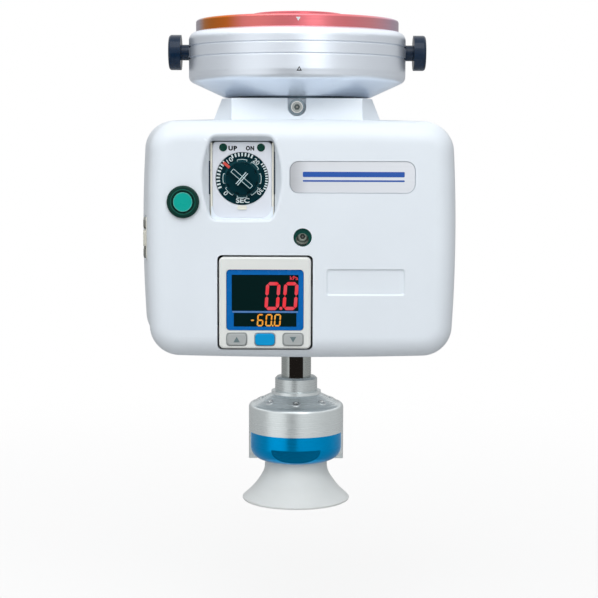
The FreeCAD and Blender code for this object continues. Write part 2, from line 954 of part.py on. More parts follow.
def screw_well(y_seat, y_inner, y_outer):
    """Boss of a face screw and the counterbore and hole that go through it."""
    low, high = sorted((y_inner, y_outer))
    boss = pin_y(face_screw_bore_radius + face_boss_wall, low, high, cover_screw_x, z_cover_screw)
    hole = pin_y(cover_screw_radius + cover_screw_hole_clearance, low, high, cover_screw_x, z_cover_screw)
    low, high = sorted((y_seat, y_outer))
    bore = pin_y(face_screw_bore_radius, low, high, cover_screw_x, z_cover_screw)
    return boss, [bore, hole]


def neck_half(sign):
    """Front (-1) or rear (+1) half of the neck wall, with the pad that its screw sits on."""
    opening = neck_opening()
    low, high = sorted((sign * (hub_radius + hub_clearance), sign * neck_bottom_half_depth))
    form = neck_form(0, z_body_top - wall, z_neck)
    reach = neck_notch_radius + wall
    pad = block(-reach, reach, low, high, z_body_top - wall, z_neck).common(form)
    return joined(form.cut(opening), pad).common(half_space(sign))


def neck_opening():
    """Inside of the neck, open down into the housing."""
    return neck_form(wall, z_body_top - 2 * wall, z_neck - wall)


def neck_cuts(sign):
    """Hub bore, and the U-shaped notch and hole of the neck screw on one side."""
    seat = neck_screw_seat()
    outer = neck_bottom_half_depth + wall
    low, high = sorted((sign * seat, sign * outer))
    notch = joined(
        pin_y(neck_notch_radius, low, high, 0, z_neck_screw),
        block(-neck_notch_radius, neck_notch_radius, low, high, z_neck_screw, z_neck + neck_gap),
    )
    low, high = sorted((0, sign * outer))
    hole = pin_y(cover_screw_radius + cover_screw_hole_clearance, low, high, 0, z_neck_screw)
    bore = pin_z(hub_radius + hub_clearance, z_body_top - 2 * wall, z_neck + neck_gap)
    return [bore, notch, hole]


def half_space(sign):
    """Block on one side of the parting plane that covers the neck and the housing."""
    reach = rear_reach + overshoot
    low, high = (y_parting, y_rear + overshoot) if sign > 0 else (y_front - overshoot, y_parting)
    return block(-reach, reach, low, high, z_body_bottom - overshoot, z_neck + overshoot)


def lip_form(inset, y0, y1):
    """Straight prism of the parting outline, drawn in by an inset."""
    return Part.Face(housing_section(y0, 0, 0, 0, inset)).extrude(V(0, y1 - y0, 0))


def scoop():
    """Barrel-shaped hollow that leads from the face down to the timer."""
    y_floor = y_timer + timer_clearance
    half_width = timer_width / 2 + clip_thickness + timer_clearance
    floor = crowned_outline(
        y_floor, (timer_x, z_timer), half_width, half_width, timer_height / 2 + timer_clearance, timer_corner,
        top_crown_radius, top_crown_radius,
    )
    mouth = crowned_outline(
        y_front, (timer_x, z_scoop), scoop_half_width, scoop_half_width, scoop_half_height, scoop_corner,
        scoop_side_crown, top_crown_radius,
    )
    return joined(Part.makeLoft([floor, mouth], True, True), Part.Face(mouth).extrude(-BACK * overshoot))


def mouth_edges(shape):
    """Edges of the front cover around the mouth of the scoop."""
    picked = []
    for edge in shape.Edges:
        box = edge.BoundBox
        beside = abs(box.Center.x - timer_x) < scoop_half_width + overshoot
        level = abs(box.Center.z - z_scoop) < scoop_half_height + overshoot
        if beside and level and box.YMax < y_front + overshoot:
            picked.append(edge)
    return picked


def face_backing():
    """Wall behind the scoop and around the start button, on the inside of the front cover."""
    y_inside = y_front + wall
    y_back = y_timer + wall
    width = 2 * scoop_half_width + wall
    height = 2 * (scoop_half_height + wall)
    pocket = face_block(timer_x, z_scoop, width, height, wall, y_inside, y_back)
    ring = pin_y(start_barrel_radius + start_boss_wall, y_inside, y_back, start_x, z_start)
    return joined(pocket, ring)


def face_cuts():
    """Openings and recesses in the front face."""
    y_out = y_front - overshoot
    timer_room = 2 * (clip_thickness + timer_clearance)
    opening = sensor_size + 2 * sensor_opening_margin
    return [
        face_block(
            timer_x, z_timer, timer_width + timer_room, timer_height + 2 * timer_clearance,
            timer_corner, y_timer, y_timer + 2 * wall,
        ),
        face_block(sensor_x, z_sensor, opening, opening, sensor_corner, y_out, y_front + front_edge_radius),
        pin_y(start_barrel_radius + start_barrel_clearance, y_out, y_timer + 2 * wall, start_x, z_start),
        name_plate_form(name_plate_clearance, y_out, y_front + name_plate_recess),
        face_block(
            label_x, z_body_top - label_drop, label_width, label_height, label_corner,
            y_out, y_front + label_recess,
        ),
    ]


def front_cover():
    """Moulded front shell with the timer scoop, sensor window, button hole and screw wells."""
    outer = front_form(0)
    boss, well = screw_well(pillar_front - screw_seat_thickness, pillar_front, y_front)
    added = joined(face_backing(), boss).common(outer)
    shell = joined(outer.cut(front_form(wall)), added).cut(scoop())
    shell = shell.makeFillet(scoop_mouth_round, mouth_edges(shell)).cut(neck_opening())
    shell = joined(shell, neck_half(-1))
    rebate = lip_form(wall / 2, y_parting - lip_length - lip_clearance, y_parting)
    return carved(shell, face_cuts() + well + [rebate, rod_clearance()] + neck_cuts(-1))


def rear_cover():
    """Moulded rear shell with the lip that enters the front shell and the connector window."""
    outer = rear_form(0)
    boss, well = screw_well(y_chassis_rear + screw_seat_thickness, y_chassis_rear, y_rear)
    lip_outer = lip_form(wall / 2 + lip_clearance, y_parting - lip_length, y_parting + wall)
    lip = lip_outer.cut(lip_form(wall, y_parting - lip_length, y_parting + wall))
    shell = joined(outer.cut(rear_form(wall)), lip, boss.common(outer)).cut(neck_opening())
    shell = joined(shell, neck_half(1))
    half_width = io_flange_width / 2 + io_clearance
    half_height = io_flange_height / 2 + io_clearance
    window = block(
        -rear_reach - overshoot, x_board, io_depth - half_width, io_depth + half_width,
        z_io - half_height, z_io + half_height,
    )
    return carved(shell, well + [window, rod_clearance()] + neck_cuts(1))


def rod_clearance():
    """Hole for the suction rod in the bottom of both covers."""
    return pin_z(rod_radius + rod_hole_clearance, z_body_bottom - overshoot, z_body_bottom + 2 * wall)


def cover_screws():
    """Four equal screws: neck and face, front and rear."""
    neck_seat = neck_screw_seat()
    front_seat = pillar_front - screw_seat_thickness
    rear_seat = y_chassis_rear + screw_seat_thickness
    places = (
        (0, -neck_seat, z_neck_screw, 1),
        (0, neck_seat, z_neck_screw, -1),
        (cover_screw_x, front_seat, z_cover_screw, 1),
        (cover_screw_x, rear_seat, z_cover_screw, -1),
    )
    screws = []
    for x, y, z, sign in places:
        screws.append(
            cap_screw(
                cover_screw_radius, cover_screw_length, cover_screw_head_radius, cover_screw_head_height,
                (x, y, z), BACK * sign,
            )
        )
    return group(screws)


def name_plate_form(grow, y0, y1):
    return face_block(
        name_plate_x, z_body_top - name_plate_drop, name_plate_width + 2 * grow, name_plate_height + 2 * grow,
        name_plate_corner + grow, y0, y1,
    )


def name_plate():
    floor = y_front + name_plate_recess
    front = floor - name_plate_thickness
    return softened(name_plate_form(0, front, floor), front, name_plate_edge_round)


def chassis():
    """Folded sheet with a top, rear wall, floor and left wing, and the pillar for the cover screws."""
    low = z_chassis_floor - sheet
    wall_front = y_chassis_rear - sheet
    under = z_chassis_top - sheet
    top = block(chassis_left, chassis_right, chassis_top_front, y_chassis_rear, under, z_chassis_top)
    back = block(chassis_left, chassis_right, wall_front, y_chassis_rear, low, z_chassis_top)
    floor = block(chassis_left, chassis_right, chassis_bottom_front, y_chassis_rear, low, z_chassis_floor)
    wing = block(chassis_left, chassis_left + sheet, chassis_wing_front, y_chassis_rear, low, z_chassis_top)
    frame = joined(top, back, floor, wing)
    bends = []
    for edge in edges_along(frame, RIGHT):
        box = edge.BoundBox
        if abs(box.YMax - y_chassis_rear) < 1e-6:
            bends.append(edge)
    frame = frame.makeFillet(bend_radius, bends)
    pillar = pin_y(pillar_radius, pillar_front, wall_front, cover_screw_x, z_cover_screw)
    front_end = pillar_front + cover_screw_length
    rear_end = y_chassis_rear - cover_screw_length
    holes = [
        pin_y(cover_screw_radius, pillar_front, front_end, cover_screw_x, z_cover_screw),
        pin_y(cover_screw_radius, rear_end, y_chassis_rear, cover_screw_x, z_cover_screw),
        pin_z(rod_radius + part_fit, low, z_chassis_floor),
        pin_z(hub_wire_hole_radius, under, z_chassis_top),
    ]
    sink = hub_screw_head_radius - hub_screw_radius
    for x, y in around(hub_screw_count, hub_screw_circle_radius, 45):
        holes.append(pin_z(hub_screw_radius, under, z_chassis_top, x, y))
        holes.append(taper_z(hub_screw_head_radius, hub_screw_radius, under, under + sink, x, y))
    return joined(frame, pillar).cut(holes)


def manifold():
    """Aluminium block on the chassis floor that joins rod, pump, valve and sensor."""
    body = soft_block(
        (
            -manifold_half_width, manifold_half_width, -manifold_half_depth, manifold_half_depth,
            z_chassis_floor, z_chassis_floor + manifold_height,
        ),
        block_edge_round,
        UP,
    )
    cuts = [
        pin_z(rod_radius + part_fit, z_chassis_floor, z_chassis_floor + rod_engagement),
        pin_z(rod_bore_radius, z_chassis_floor, z_port + port_radius),
        pin_x(port_radius, -manifold_half_width, manifold_half_width, 0, z_port),
        pin_y(port_radius, -manifold_half_depth, 0, sensor_port_x, z_port),
        pin_x(nipple_radius, manifold_half_width - nipple_depth, manifold_half_width, 0, z_port),
        pin_x(nipple_radius, -manifold_half_width, nipple_depth - manifold_half_width, 0, z_port),
        pin_y(nipple_radius, -manifold_half_depth, nipple_depth - manifold_half_depth, sensor_port_x, z_port),
    ]
    return carved(body, cuts)


def pump_left():
    return pump_x - pump_width / 2


def valve_right():
    return -manifold_half_width - valve_gap


def port_nipples():
    """Three short tubes from the manifold to the pump, the release valve and the sensor."""
    side = manifold_half_width - nipple_depth
    front = manifold_half_depth - nipple_depth
    sensor_rear = y_sensor_case + sensor_case_depth
    runs = (
        (RIGHT, V(side, 0, z_port), pump_left() + nipple_depth - side),
        (-RIGHT, V(-side, 0, z_port), nipple_depth - valve_right() - side),
        (-BACK, V(sensor_port_x, -front, z_port), nipple_depth - front - sensor_rear),
    )
    tubes = []
    for axis, start, length in runs:
        tube = Part.makeCylinder(nipple_radius - part_fit, length, start, axis)
        tubes.append(tube.cut(Part.makeCylinder(port_radius, length, start, axis)))
    return group(tubes)


def valve_body():
    """Release valve that lets air in to drop the load."""
    right = valve_right()
    body = soft_block(
        (
            right - valve_width, right, -valve_half_depth, valve_half_depth,
            z_chassis_floor, z_chassis_floor + valve_body_height,
        ),
        block_edge_round,
        UP,
    )
    return body.cut(pin_x(nipple_radius, right - nipple_depth, right, 0, z_port))


def valve_coil():
    middle = valve_right() - valve_width / 2
    foot = z_chassis_floor + valve_body_height
    coil = pin_z(valve_coil_radius, foot, foot + valve_coil_height, middle, 0)
    stem = pin_z(valve_stem_radius, foot, foot + valve_coil_height + valve_stem_rise, middle, 0)
    return joined(coil, stem)


def pump_block(z0, z1):
    half_width = pump_width / 2
    half_depth = pump_depth / 2
    bounds = (pump_x - half_width, pump_x + half_width, pump_y - half_depth, pump_y + half_depth, z0, z1)
    return soft_block(bounds, pump_corner, UP)


def pump_bolt_places():
    half_x = pump_width / 2 - bolt_inset
    half_y = pump_depth / 2 - bolt_inset
    return [(pump_x + sx * half_x, pump_y + sy * half_y) for sx in (-1, 1) for sy in (-1, 1)]


def bolt_holes(z0, z1, radius):
    return [pin_z(radius, z0, z1, x, y) for x, y in pump_bolt_places()]


def pump_head():
    """Head with an intake and an exhaust chamber side by side."""
    body = pump_block(z_chassis_floor, z_pump_plate)
    chamber = pin_z(pump_chamber_radius, z_pump_plate - pump_chamber_depth, z_pump_plate, pump_x, pump_y)
    rib = block(
        pump_x - coil_wall / 2, pump_x + coil_wall / 2, pump_y - pump_depth / 2, pump_y + pump_depth / 2,
        z_pump_plate - pump_chamber_depth, z_pump_plate,
    )
    port = pin_x(nipple_radius, pump_left(), pump_left() + nipple_depth, 0, z_port)
    duct = pin_x(port_radius, pump_left(), pump_x - coil_wall, 0, z_port)
    exhaust = pin_x(port_radius, pump_x + coil_wall, pump_x + pump_width, pump_y, z_port)
    holes = bolt_holes(z_chassis_floor + bolt_floor, z_pump_plate, bolt_radius)
    return body.cut([chamber.cut(rib), port, duct, exhaust] + holes)


def pump_valve_plate():
    """Thin plate with the reed valve ports of the two chambers."""
    body = pump_block(z_pump_plate, z_cylinder)
    offset = pump_chamber_radius / 2
    ports = []
    for side in (-1, 1):
        ports.append(pin_z(port_radius, z_pump_plate, z_cylinder, pump_x + side * offset, pump_y))
    return body.cut(ports + bolt_holes(z_pump_plate, z_cylinder, bolt_radius + bolt_hole_clearance))


def pump_cylinder():
    body = pump_block(z_cylinder, z_pump_frame)
    bore = pin_z(cylinder_bore_radius, z_cylinder, z_pump_frame, pump_x, pump_y)
    return body.cut([bore] + bolt_holes(z_cylinder, z_pump_frame, bolt_radius + bolt_hole_clearance))


def pump_frame():
    """U-shaped iron yoke over the cylinder: floor with a rod guide, two sides and a top."""
    body = pump_block(z_pump_frame, z_frame_top)
    window = block(
        pump_x - pump_width / 2 + frame_sheet, pump_x + pump_width / 2 - frame_sheet,
        pump_y - pump_depth, pump_y + pump_depth, z_frame_floor, z_frame_top - frame_sheet,
    )
    guide = pin_z(piston_rod_radius + piston_rod_clearance, z_pump_frame, z_frame_floor, pump_x, pump_y)
    holes = bolt_holes(z_pump_frame, z_frame_floor, bolt_radius + bolt_hole_clearance)
    return body.cut([window, guide] + holes)


def pump_bolts():
    foot = z_chassis_floor + bolt_floor
    bolts = []
    for x, y in pump_bolt_places():
        shank = pin_z(bolt_radius, foot, z_frame_floor, x, y)
        head = pin_z(bolt_head_radius, z_frame_floor, z_frame_floor + bolt_head_height, x, y)
        bolts.append(joined(shank, head))
    return group(bolts)


def pump_piston():
    """Piston and rod: the rod carries the armature through the yoke's floor."""
    radius = cylinder_bore_radius - piston_clearance
    top = z_piston + piston_height
    crown = pin_z(radius, z_piston, top, pump_x, pump_y)
    rod = pin_z(piston_rod_radius, top, z_armature, pump_x, pump_y)
    low, high = seal_levels()
    core = pin_z(radius - seal_depth, low, high, pump_x, pump_y)
    groove = pin_z(radius, low, high, pump_x, pump_y).cut(core)
    return joined(crown, rod).cut(groove)


def seal_levels():
    middle = z_piston + piston_height / 2
    return middle - seal_height / 2, middle + seal_height / 2


def piston_seal():
    low, high = seal_levels()
    inner = cylinder_bore_radius - piston_clearance - seal_depth
    ring = pin_z(cylinder_bore_radius - seal_clearance, low, high, pump_x, pump_y)
    return ring.cut(pin_z(inner, low, high, pump_x, pump_y))


def pump_armature():
    return pin_z(armature_radius, z_armature, z_armature + armature_height, pump_x, pump_y)


def core_edges():
    """Inner and outer distance of a magnet core from the pump's axis."""
    return armature_radius + core_gap, pump_width / 2 - frame_sheet


def pump_cores():
    """Two laminated cores on the yoke's sides that face the armature."""
    near, far = core_edges()
    middle = z_armature + armature_height / 2
    cores = []
    for side in (-1, 1):
        low, high = sorted((pump_x + side * near, pump_x + side * far))
        cores.append(
            block(
                low, high, pump_y - core_half_depth, pump_y + core_half_depth,
                middle - core_height / 2, middle + core_height / 2,
            )
        )
    return group(cores)


def pump_coils():
    """Winding around each core, as a rounded sleeve."""
    near, far = core_edges()
    middle = z_armature + armature_height / 2
    low_x = near + core_gap
    coils = []
    for side in (-1, 1):
        low, high = sorted((pump_x + side * low_x, pump_x + side * far))
        half_depth = core_half_depth + coil_wall
        half_height = core_height / 2 + coil_wall
        sleeve = soft_block(
            (
                low, high, pump_y - half_depth, pump_y + half_depth,
                middle - half_height, middle + half_height,
            ),
            coil_wall,
            RIGHT,
        )
        hole = block(
            low, high, pump_y - core_half_depth, pump_y + core_half_depth,
            middle - core_height / 2, middle + core_height / 2,
        )
        coils.append(sleeve.cut(hole))
    return group(coils)


def pump_spring_lower():
    return coil_spring(
        pump_spring_radius, pump_spring_wire, pump_spring_turns, z_frame_floor, z_armature, pump_x, pump_y
    )


def pump_spring_upper():
    return coil_spring(
        pump_spring_radius, pump_spring_wire, pump_spring_turns,
        z_armature + armature_height, z_frame_top - frame_sheet, pump_x, pump_y,
    )


def timer_case():
    """Plug-in timer: a deep box with a round dial recess, two lamp holes and the knob's shaft hole."""
    rear = y_timer + timer_depth
    body = face_block(timer_x, z_timer, timer_width, timer_height, timer_corner, y_timer, rear)
    body = softened(body, y_timer, timer_edge_round)
    cuts = [
        pin_y(dial_radius + dial_clearance, y_timer, y_dial, timer_x, z_dial),
        pin_y(knob_shaft_radius + knob_shaft_clearance, y_dial, y_dial + knob_shaft_length, timer_x, z_dial),
    ]
    for side in (-1, 1):
        floor = y_timer + lamp_height - lamp_proud
        cuts.append(pin_y(lamp_radius, y_timer, floor, timer_x + side * lamp_spread, z_timer + lamp_rise))
    return body.cut(cuts)


def timer_dial():
    front = y_dial - dial_thickness
    disc = pin_y(dial_radius, front, y_dial, timer_x, z_dial)
    return disc.cut(pin_y(knob_shaft_radius + knob_shaft_clearance, front, y_dial, timer_x, z_dial))


def timer_lamps():
    front = y_timer - lamp_proud
    z = z_timer + lamp_rise
    lamps = []
    for side in (-1, 1):
        lamps.append(pin_y(lamp_radius, front, front + lamp_height, timer_x + side * lamp_spread, z))
    return group(lamps)


def knob_face():
    """Depth of the knob's rear face, just in front of the dial."""
    return y_dial - dial_thickness - knob_gap


def turned_to_pointer(shape):
    """Turns a shape drawn along +X about the dial's axis so that it points at the pointer angle."""
    shape.rotate(V(timer_x, 0, z_dial), -BACK, pointer_angle)
    return shape


def timer_knob():
    """Round knob with rim notches, a raised bar along the pointer and a short cross slot."""
    rear = knob_face()
    face = rear - knob_base_height
    base = softened(pin_y(knob_radius, face, rear, timer_x, z_dial), face, knob_edge_round)
    notches = []
    for number in range(knob_notch_count):
        notch = block(
            timer_x + knob_radius - knob_notch_depth, timer_x + knob_radius + overshoot,
            face, rear - pointer_thickness,
            z_dial - knob_notch_width / 2, z_dial + knob_notch_width / 2,
        )
        notch.rotate(V(timer_x, 0, z_dial), BACK, 360.0 * (number + 0.5) / knob_notch_count)
        notches.append(turned_to_pointer(notch))
    reach = knob_radius - knob_notch_depth
    top = face - knob_bar_height
    bar = soft_block(
        (
            timer_x - reach, timer_x + reach, top, face,
            z_dial - knob_bar_width / 2, z_dial + knob_bar_width / 2,
        ),
        knob_bar_width / 3,
        BACK,
    )
    slot = block(
        timer_x - knob_slot_width / 2, timer_x + knob_slot_width / 2, top, face,
        z_dial - knob_bar_width, z_dial + knob_bar_width,
    )
    shaft = pin_y(knob_shaft_radius, rear, y_dial + knob_shaft_length - knob_gap, timer_x, z_dial)
    bar = turned_to_pointer(bar.cut(slot))
    return joined(base.cut(notches), bar, shaft)


def timer_pointer():
    """Red hand that sits in the knob's skirt and reaches the dial's scale."""
    rear = knob_face()
    hand = block(
        timer_x + knob_radius - pointer_width, timer_x + pointer_reach, rear - pointer_thickness, rear,
        z_dial - pointer_width / 2, z_dial + pointer_width / 2,
    )
    return turned_to_pointer(hand.cut(pin_y(knob_radius, rear - pointer_thickness, rear, timer_x, z_dial)))


def timer_clips():
    """Spring clips on both sides that hold the timer in its socket."""
    clips = []
    for side in (-1, 1):
        near = timer_x + side * timer_width / 2
        low, high = sorted((near, near + side * clip_thickness))
        clips.append(
            block(
                low, high, y_timer + timer_clearance, y_timer + timer_depth + nipple_depth,
                z_timer + clip_rise - clip_height / 2, z_timer + clip_rise + clip_height / 2,
            )
        )
    return group(clips)


def timer_socket():
    front = y_timer + timer_depth
    width = timer_width - 2 * socket_margin
    height = timer_height - 2 * socket_margin
    return face_block(timer_x, z_timer, width, height, timer_corner, front, y_chassis_rear - sheet)


def sensor_key_places():
    return [sensor_x + step * key_pitch for step in (-1, 0, 1)]


def sensor_bezel():
    """Square front frame with the window recess and three stepped key holes."""
    body = face_block(sensor_x, z_sensor, sensor_size, sensor_size, sensor_corner, y_bezel, y_sensor_case)
    body = softened(body, y_bezel, sensor_edge_round)
    grow = 2 * window_clearance
    cuts = [
        face_block(
            sensor_x, z_window, window_width + grow, window_height + grow,
            window_thickness, y_bezel, y_bezel + window_recess + window_thickness,
        )
    ]
    shelf = key_rear() - key_flange_thickness - key_clearance / 3
    for x in sensor_key_places():
        cuts.append(key_form(x, key_clearance, y_bezel, y_sensor_case))
        cuts.append(key_form(x, key_flange + key_clearance, shelf, y_sensor_case))
    return body.cut(cuts)


def key_rear():
    """Depth of a key's rear face at rest, its travel and a little room in front of the case."""
    return y_sensor_case - key_travel - key_clearance


def key_form(x, grow, y0, y1):
    """Outline of a key, grown on all sides, that runs from depth y0 to y1."""
    return face_block(x, z_keys, key_width + 2 * grow, key_height + 2 * grow, key_corner, y0, y1)


def sensor_key(x):
    """Key with soft edges and a flange that stops behind the bezel."""
    rear = key_rear()
    front = y_bezel - key_proud
    body = softened(key_form(x, 0, front, rear), front, key_edge_round)
    return joined(body, key_form(x, key_flange, rear - key_flange_thickness, rear))


def sensor_window():
    y0 = y_bezel + window_recess
    return face_block(
        sensor_x, z_window, window_width, window_height, window_thickness, y0, y0 + window_thickness
    )


def sensor_case():
    """Body of the sensor behind the bezel, with its pressure port."""
    size = sensor_size - 2 * sensor_case_inset
    rear = y_sensor_case + sensor_case_depth
    body = face_block(sensor_x, z_sensor, size, size, sensor_corner, y_sensor_case, rear)
    return body.cut(pin_y(nipple_radius, rear - nipple_depth, rear, sensor_port_x, z_port))


def start_button_body():
    """Bezel and barrel of the start button in one, hollow for the cap."""
    rim = y_front - start_bezel_height
    rear = y_front + start_barrel_length
    flange = softened(pin_y(start_bezel_radius, rim, y_front, start_x, z_start), rim, start_bezel_height / 2)
    barrel = pin_y(start_barrel_radius, y_front, rear, start_x, z_start)
    floor = start_cap_rear() + start_travel + start_end_gap
    cuts = [
        pin_y(start_cap_radius + start_cap_clearance, rim, floor, start_x, z_start),
        pin_y(start_stem_radius + start_stem_clearance, floor, rear, start_x, z_start),
    ]
    return joined(flange, barrel).cut(cuts)


def start_cap_rear():
    return y_front - start_bezel_height - start_cap_proud + start_cap_length


def start_button_cap():
    """Green cap on a stem that runs in the barrel's guide hole."""
    front = y_front - start_bezel_height - start_cap_proud
    rear = start_cap_rear()
    cap = softened(pin_y(start_cap_radius, front, rear, start_x, z_start), front, start_cap_edge_round)
    stem_end = rear + start_travel + start_end_gap + start_cap_length
    stem = pin_y(start_stem_radius, rear, stem_end, start_x, z_start)
    return joined(cap, stem)


def start_button_nut():
    foot = y_timer + wall
    nut = hexagon(start_nut_flats, (start_x, foot, z_start), BACK, start_nut_thickness)
    return nut.cut(pin_y(start_barrel_radius, foot, foot + start_nut_thickness, start_x, z_start))


def board_levels():
    return z_body_top - board_bottom_drop, z_body_top - board_top_drop


def standoff_places():
    low, high = board_levels()
    places = []
    for y in (chassis_wing_front + board_hole_inset, board_rear - board_hole_inset):
        for z in (low + board_hole_inset, high - board_hole_inset):
            places.append((y, z))
    return places


def control_board():
    """Circuit board on the chassis wing, with the larger electronic parts on its inner face."""
    low, high = board_levels()
    board = soft_block(
        (x_board - board_thickness, x_board, board_front, board_rear, low, high), board_corner, RIGHT
    )
    holes = []
    for y, z in standoff_places():
        holes.append(pin_x(standoff_screw_radius, x_board - board_thickness, x_board, y, z))
    middle = (low + high) / 2
    chips = []
    near = board_front + chip_inset
    for number in range(chip_count):
        z = middle + (number - (chip_count - 1) / 2) * chip_pitch
        low, high = z - chip_width / 2, z + chip_width / 2
        chips.append(block(x_board, x_board + board_thickness, near, near + chip_length, low, high))
    return joined(board, *chips).cut(holes)


def board_standoffs():
    """Four hexagonal spacers with their screws, between the chassis wing and the board."""
    spacers = []
    for y, z in standoff_places():
        spacer = hexagon(standoff_flats, (x_board, y, z), RIGHT, board_standoff)
        head = pin_x(standoff_flats / 2, x_board - 2 * board_thickness, x_board - board_thickness, y, z)
        shank = pin_x(standoff_screw_radius, x_board - board_thickness, x_board, y, z)
        spacers.append(joined(spacer, head, shank))
    return group(spacers)


def io_connector():
    """Rectangular connector on the board that looks out of the left side."""
    root = board_thickness - x_board
    half_width = io_shell_width / 2
    half_height = io_shell_height / 2
    face = io_flange_reach
    body = block(
        -face, -root, io_depth - half_width, io_depth + half_width, z_io - half_height, z_io + half_height
    )
    flange = soft_block(
        (
            -face, io_flange_thickness - face,
            io_depth - io_flange_width / 2, io_depth + io_flange_width / 2,
            z_io - io_flange_height / 2, z_io + io_flange_height / 2,
        ),
        io_flange_thickness,
        RIGHT,
    )
    shell = soft_block(
        (
            -io_shell_reach, -face, io_depth - half_width, io_depth + half_width,
            z_io - half_height, z_io + half_height,
        ),
        io_shell_wall,
        RIGHT,
    )
    cavity = soft_block(
        (
            -io_shell_reach, io_cavity_depth - io_shell_reach,
            io_depth - half_width + io_shell_wall, io_depth + half_width - io_shell_wall,
            z_io - half_height + io_shell_wall, z_io + half_height - io_shell_wall,
        ),
        io_shell_wall,
        RIGHT,
    )
    return joined(body, flange, shell).cut(cavity)


def io_posts():
    """Two hexagonal posts on the connector's flange for the plug's screws."""
    posts = []
    for end in (-1, 1):
        foot = (-io_flange_reach, io_depth, z_io + end * io_post_spread)
        posts.append(hexagon(io_post_flats, foot, -RIGHT, io_post_length))
    return group(posts)


def suction_rod():
    """Tube from the manifold to the pad holder, with two wrench flats where it shows."""
    top = z_chassis_floor + rod_engagement
    rod = pin_z(rod_radius, z_collar, top)
    spigot = pin_z(rod_spigot_radius, z_collar - rod_spigot_length, z_collar)
    bore = pin_z(rod_bore_radius, z_collar - rod_spigot_length, top)
    flats = []
    for side in (-1, 1):
        low, high = sorted((side * rod_flat_half_width, side * 2 * rod_radius))
        flats.append(block(-rod_radius, rod_radius, low, high, z_collar, z_body_bottom + rod_hole_clearance))
    return joined(rod, spigot).cut(flats + [bore])


def rod_locknut():
    top = z_chassis_floor - sheet
    nut = hexagon(locknut_flats, (0, 0, top - locknut_thickness), UP, locknut_thickness)
    return nut.cut(pin_z(rod_radius + part_fit, top - locknut_thickness, top))


def pad_holder():
    """Turned holder that screws onto the rod, with relief holes in its cone and two side lugs."""
    spigot_low = z_ring - holder_spigot_length
    growth = holder_radius - holder_cone_radius
    rounding = quarter((holder_cone_radius, z_holder_side), growth, holder_round_height, 45)
    body = turned(
        (vacuum_bore_radius, z_collar),
        (collar_radius - collar_chamfer, z_collar),
        (collar_radius, z_collar - collar_chamfer),
        (collar_radius, z_step_ring),
        (step_ring_radius, z_step_ring),
        (step_ring_radius, z_cone),
        (holder_cone_radius, z_holder_round),
        (rounding, (holder_radius, z_holder_side)),
        (holder_radius, z_ring),
        (holder_spigot_radius, z_ring),
        (holder_spigot_radius, spigot_low),
        (vacuum_bore_radius, spigot_low),
    )
    lugs = []
    for side in (-1, 1):
        low, high = sorted((side * lug_inner_radius, side * (holder_radius + overshoot)))
        foot = z_ring - lug_length
        root = z_ring + lug_round
        lug = soft_block((low, high, -lug_half_width, lug_half_width, foot, root), lug_round, RIGHT)
        lugs.append(lug.common(pin_z(holder_radius, foot, root)))
    cuts = [
        pin_z(rod_spigot_radius, z_collar - rod_spigot_length, z_collar),
        pin_z(filter_radius, spigot_low, spigot_low + filter_thickness),
    ]
    for x, y in around(relief_hole_count, relief_hole_circle, relief_hole_start):
        cuts.append(pin_z(relief_hole_radius, z_holder_round - relief_hole_depth, z_cone, x, y))
    return joined(body, *lugs).cut(cuts)


def filter_disc():
    low = z_ring - holder_spigot_length
    return pin_z(filter_radius, low, low + filter_thickness)


def pad_ring():
    """Blue ring that clamps the cup: rounded below, slotted for the lugs and milled flat in front."""
    bore = cup_neck_radius + ring_clearance
    flat_top = z_cup + ring_flat_height
    outside = ring_radius + overshoot
    rounding = quarter((ring_radius - ring_round, z_cup + ring_round), ring_round, ring_round, -45)
    ring = turned(
        (bore, z_ring),
        (ring_radius, z_ring),
        (ring_radius, z_cup + ring_round),
        (rounding, (ring_radius - ring_round, z_cup)),
        (bore, z_cup),
    )
    cuts = [block(-ring_radius, ring_radius, -outside, -ring_flat_distance, z_cup, flat_top)]
    for side in (-1, 1):
        inner = lug_inner_radius - ring_clearance
        low, high = sorted((side * inner, side * outside))
        slot = soft_block(
            (
                low, high, -lug_half_width - ring_clearance, lug_half_width + ring_clearance,
                z_ring - lug_length - ring_clearance, z_ring + 2 * lug_round,
            ),
            lug_round,
            RIGHT,
        )
        cuts.append(slot)
    return ring.cut(cuts)


def suction_cup():
    """Silicone bell with a neck that stretches over the holder's spigot inside the ring."""
    neck_top = z_cup + cup_neck_length
    neck_bore = holder_spigot_radius + ring_clearance
    seat = z_ring - holder_spigot_length - ring_clearance
    ceiling = z_cup - cup_ceiling
    outer_waist = (cup_waist_radius, z_cup - cup_waist_drop)
    outer_flare = (cup_flare_radius, z_cup - cup_flare_drop)
    outer_skirt = (cup_skirt_radius, z_cup - cup_skirt_drop)
    inner_waist = (cup_waist_radius - cup_wall, z_cup - cup_waist_drop)
    inner_flare = (cup_flare_radius - cup_wall, z_cup - cup_flare_drop - cup_wall)
    inner_skirt = (cup_skirt_radius - cup_wall, z_cup - cup_skirt_drop - cup_wall)
    return turned(
        (neck_bore, neck_top),
        (cup_neck_radius, neck_top),
        (cup_neck_radius, z_cup),
        (outer_waist, outer_flare),
        (outer_skirt, (cup_lip_radius, z_lip + cup_lip_height)),
        (cup_lip_radius, z_lip),
        (cup_lip_radius - cup_wall, z_lip),
        (inner_skirt, inner_flare),
        (inner_waist, (cup_neck_radius - cup_wall, ceiling)),
        (vacuum_bore_radius, ceiling),
        (vacuum_bore_radius, seat),
        (neck_bore, seat),
    )


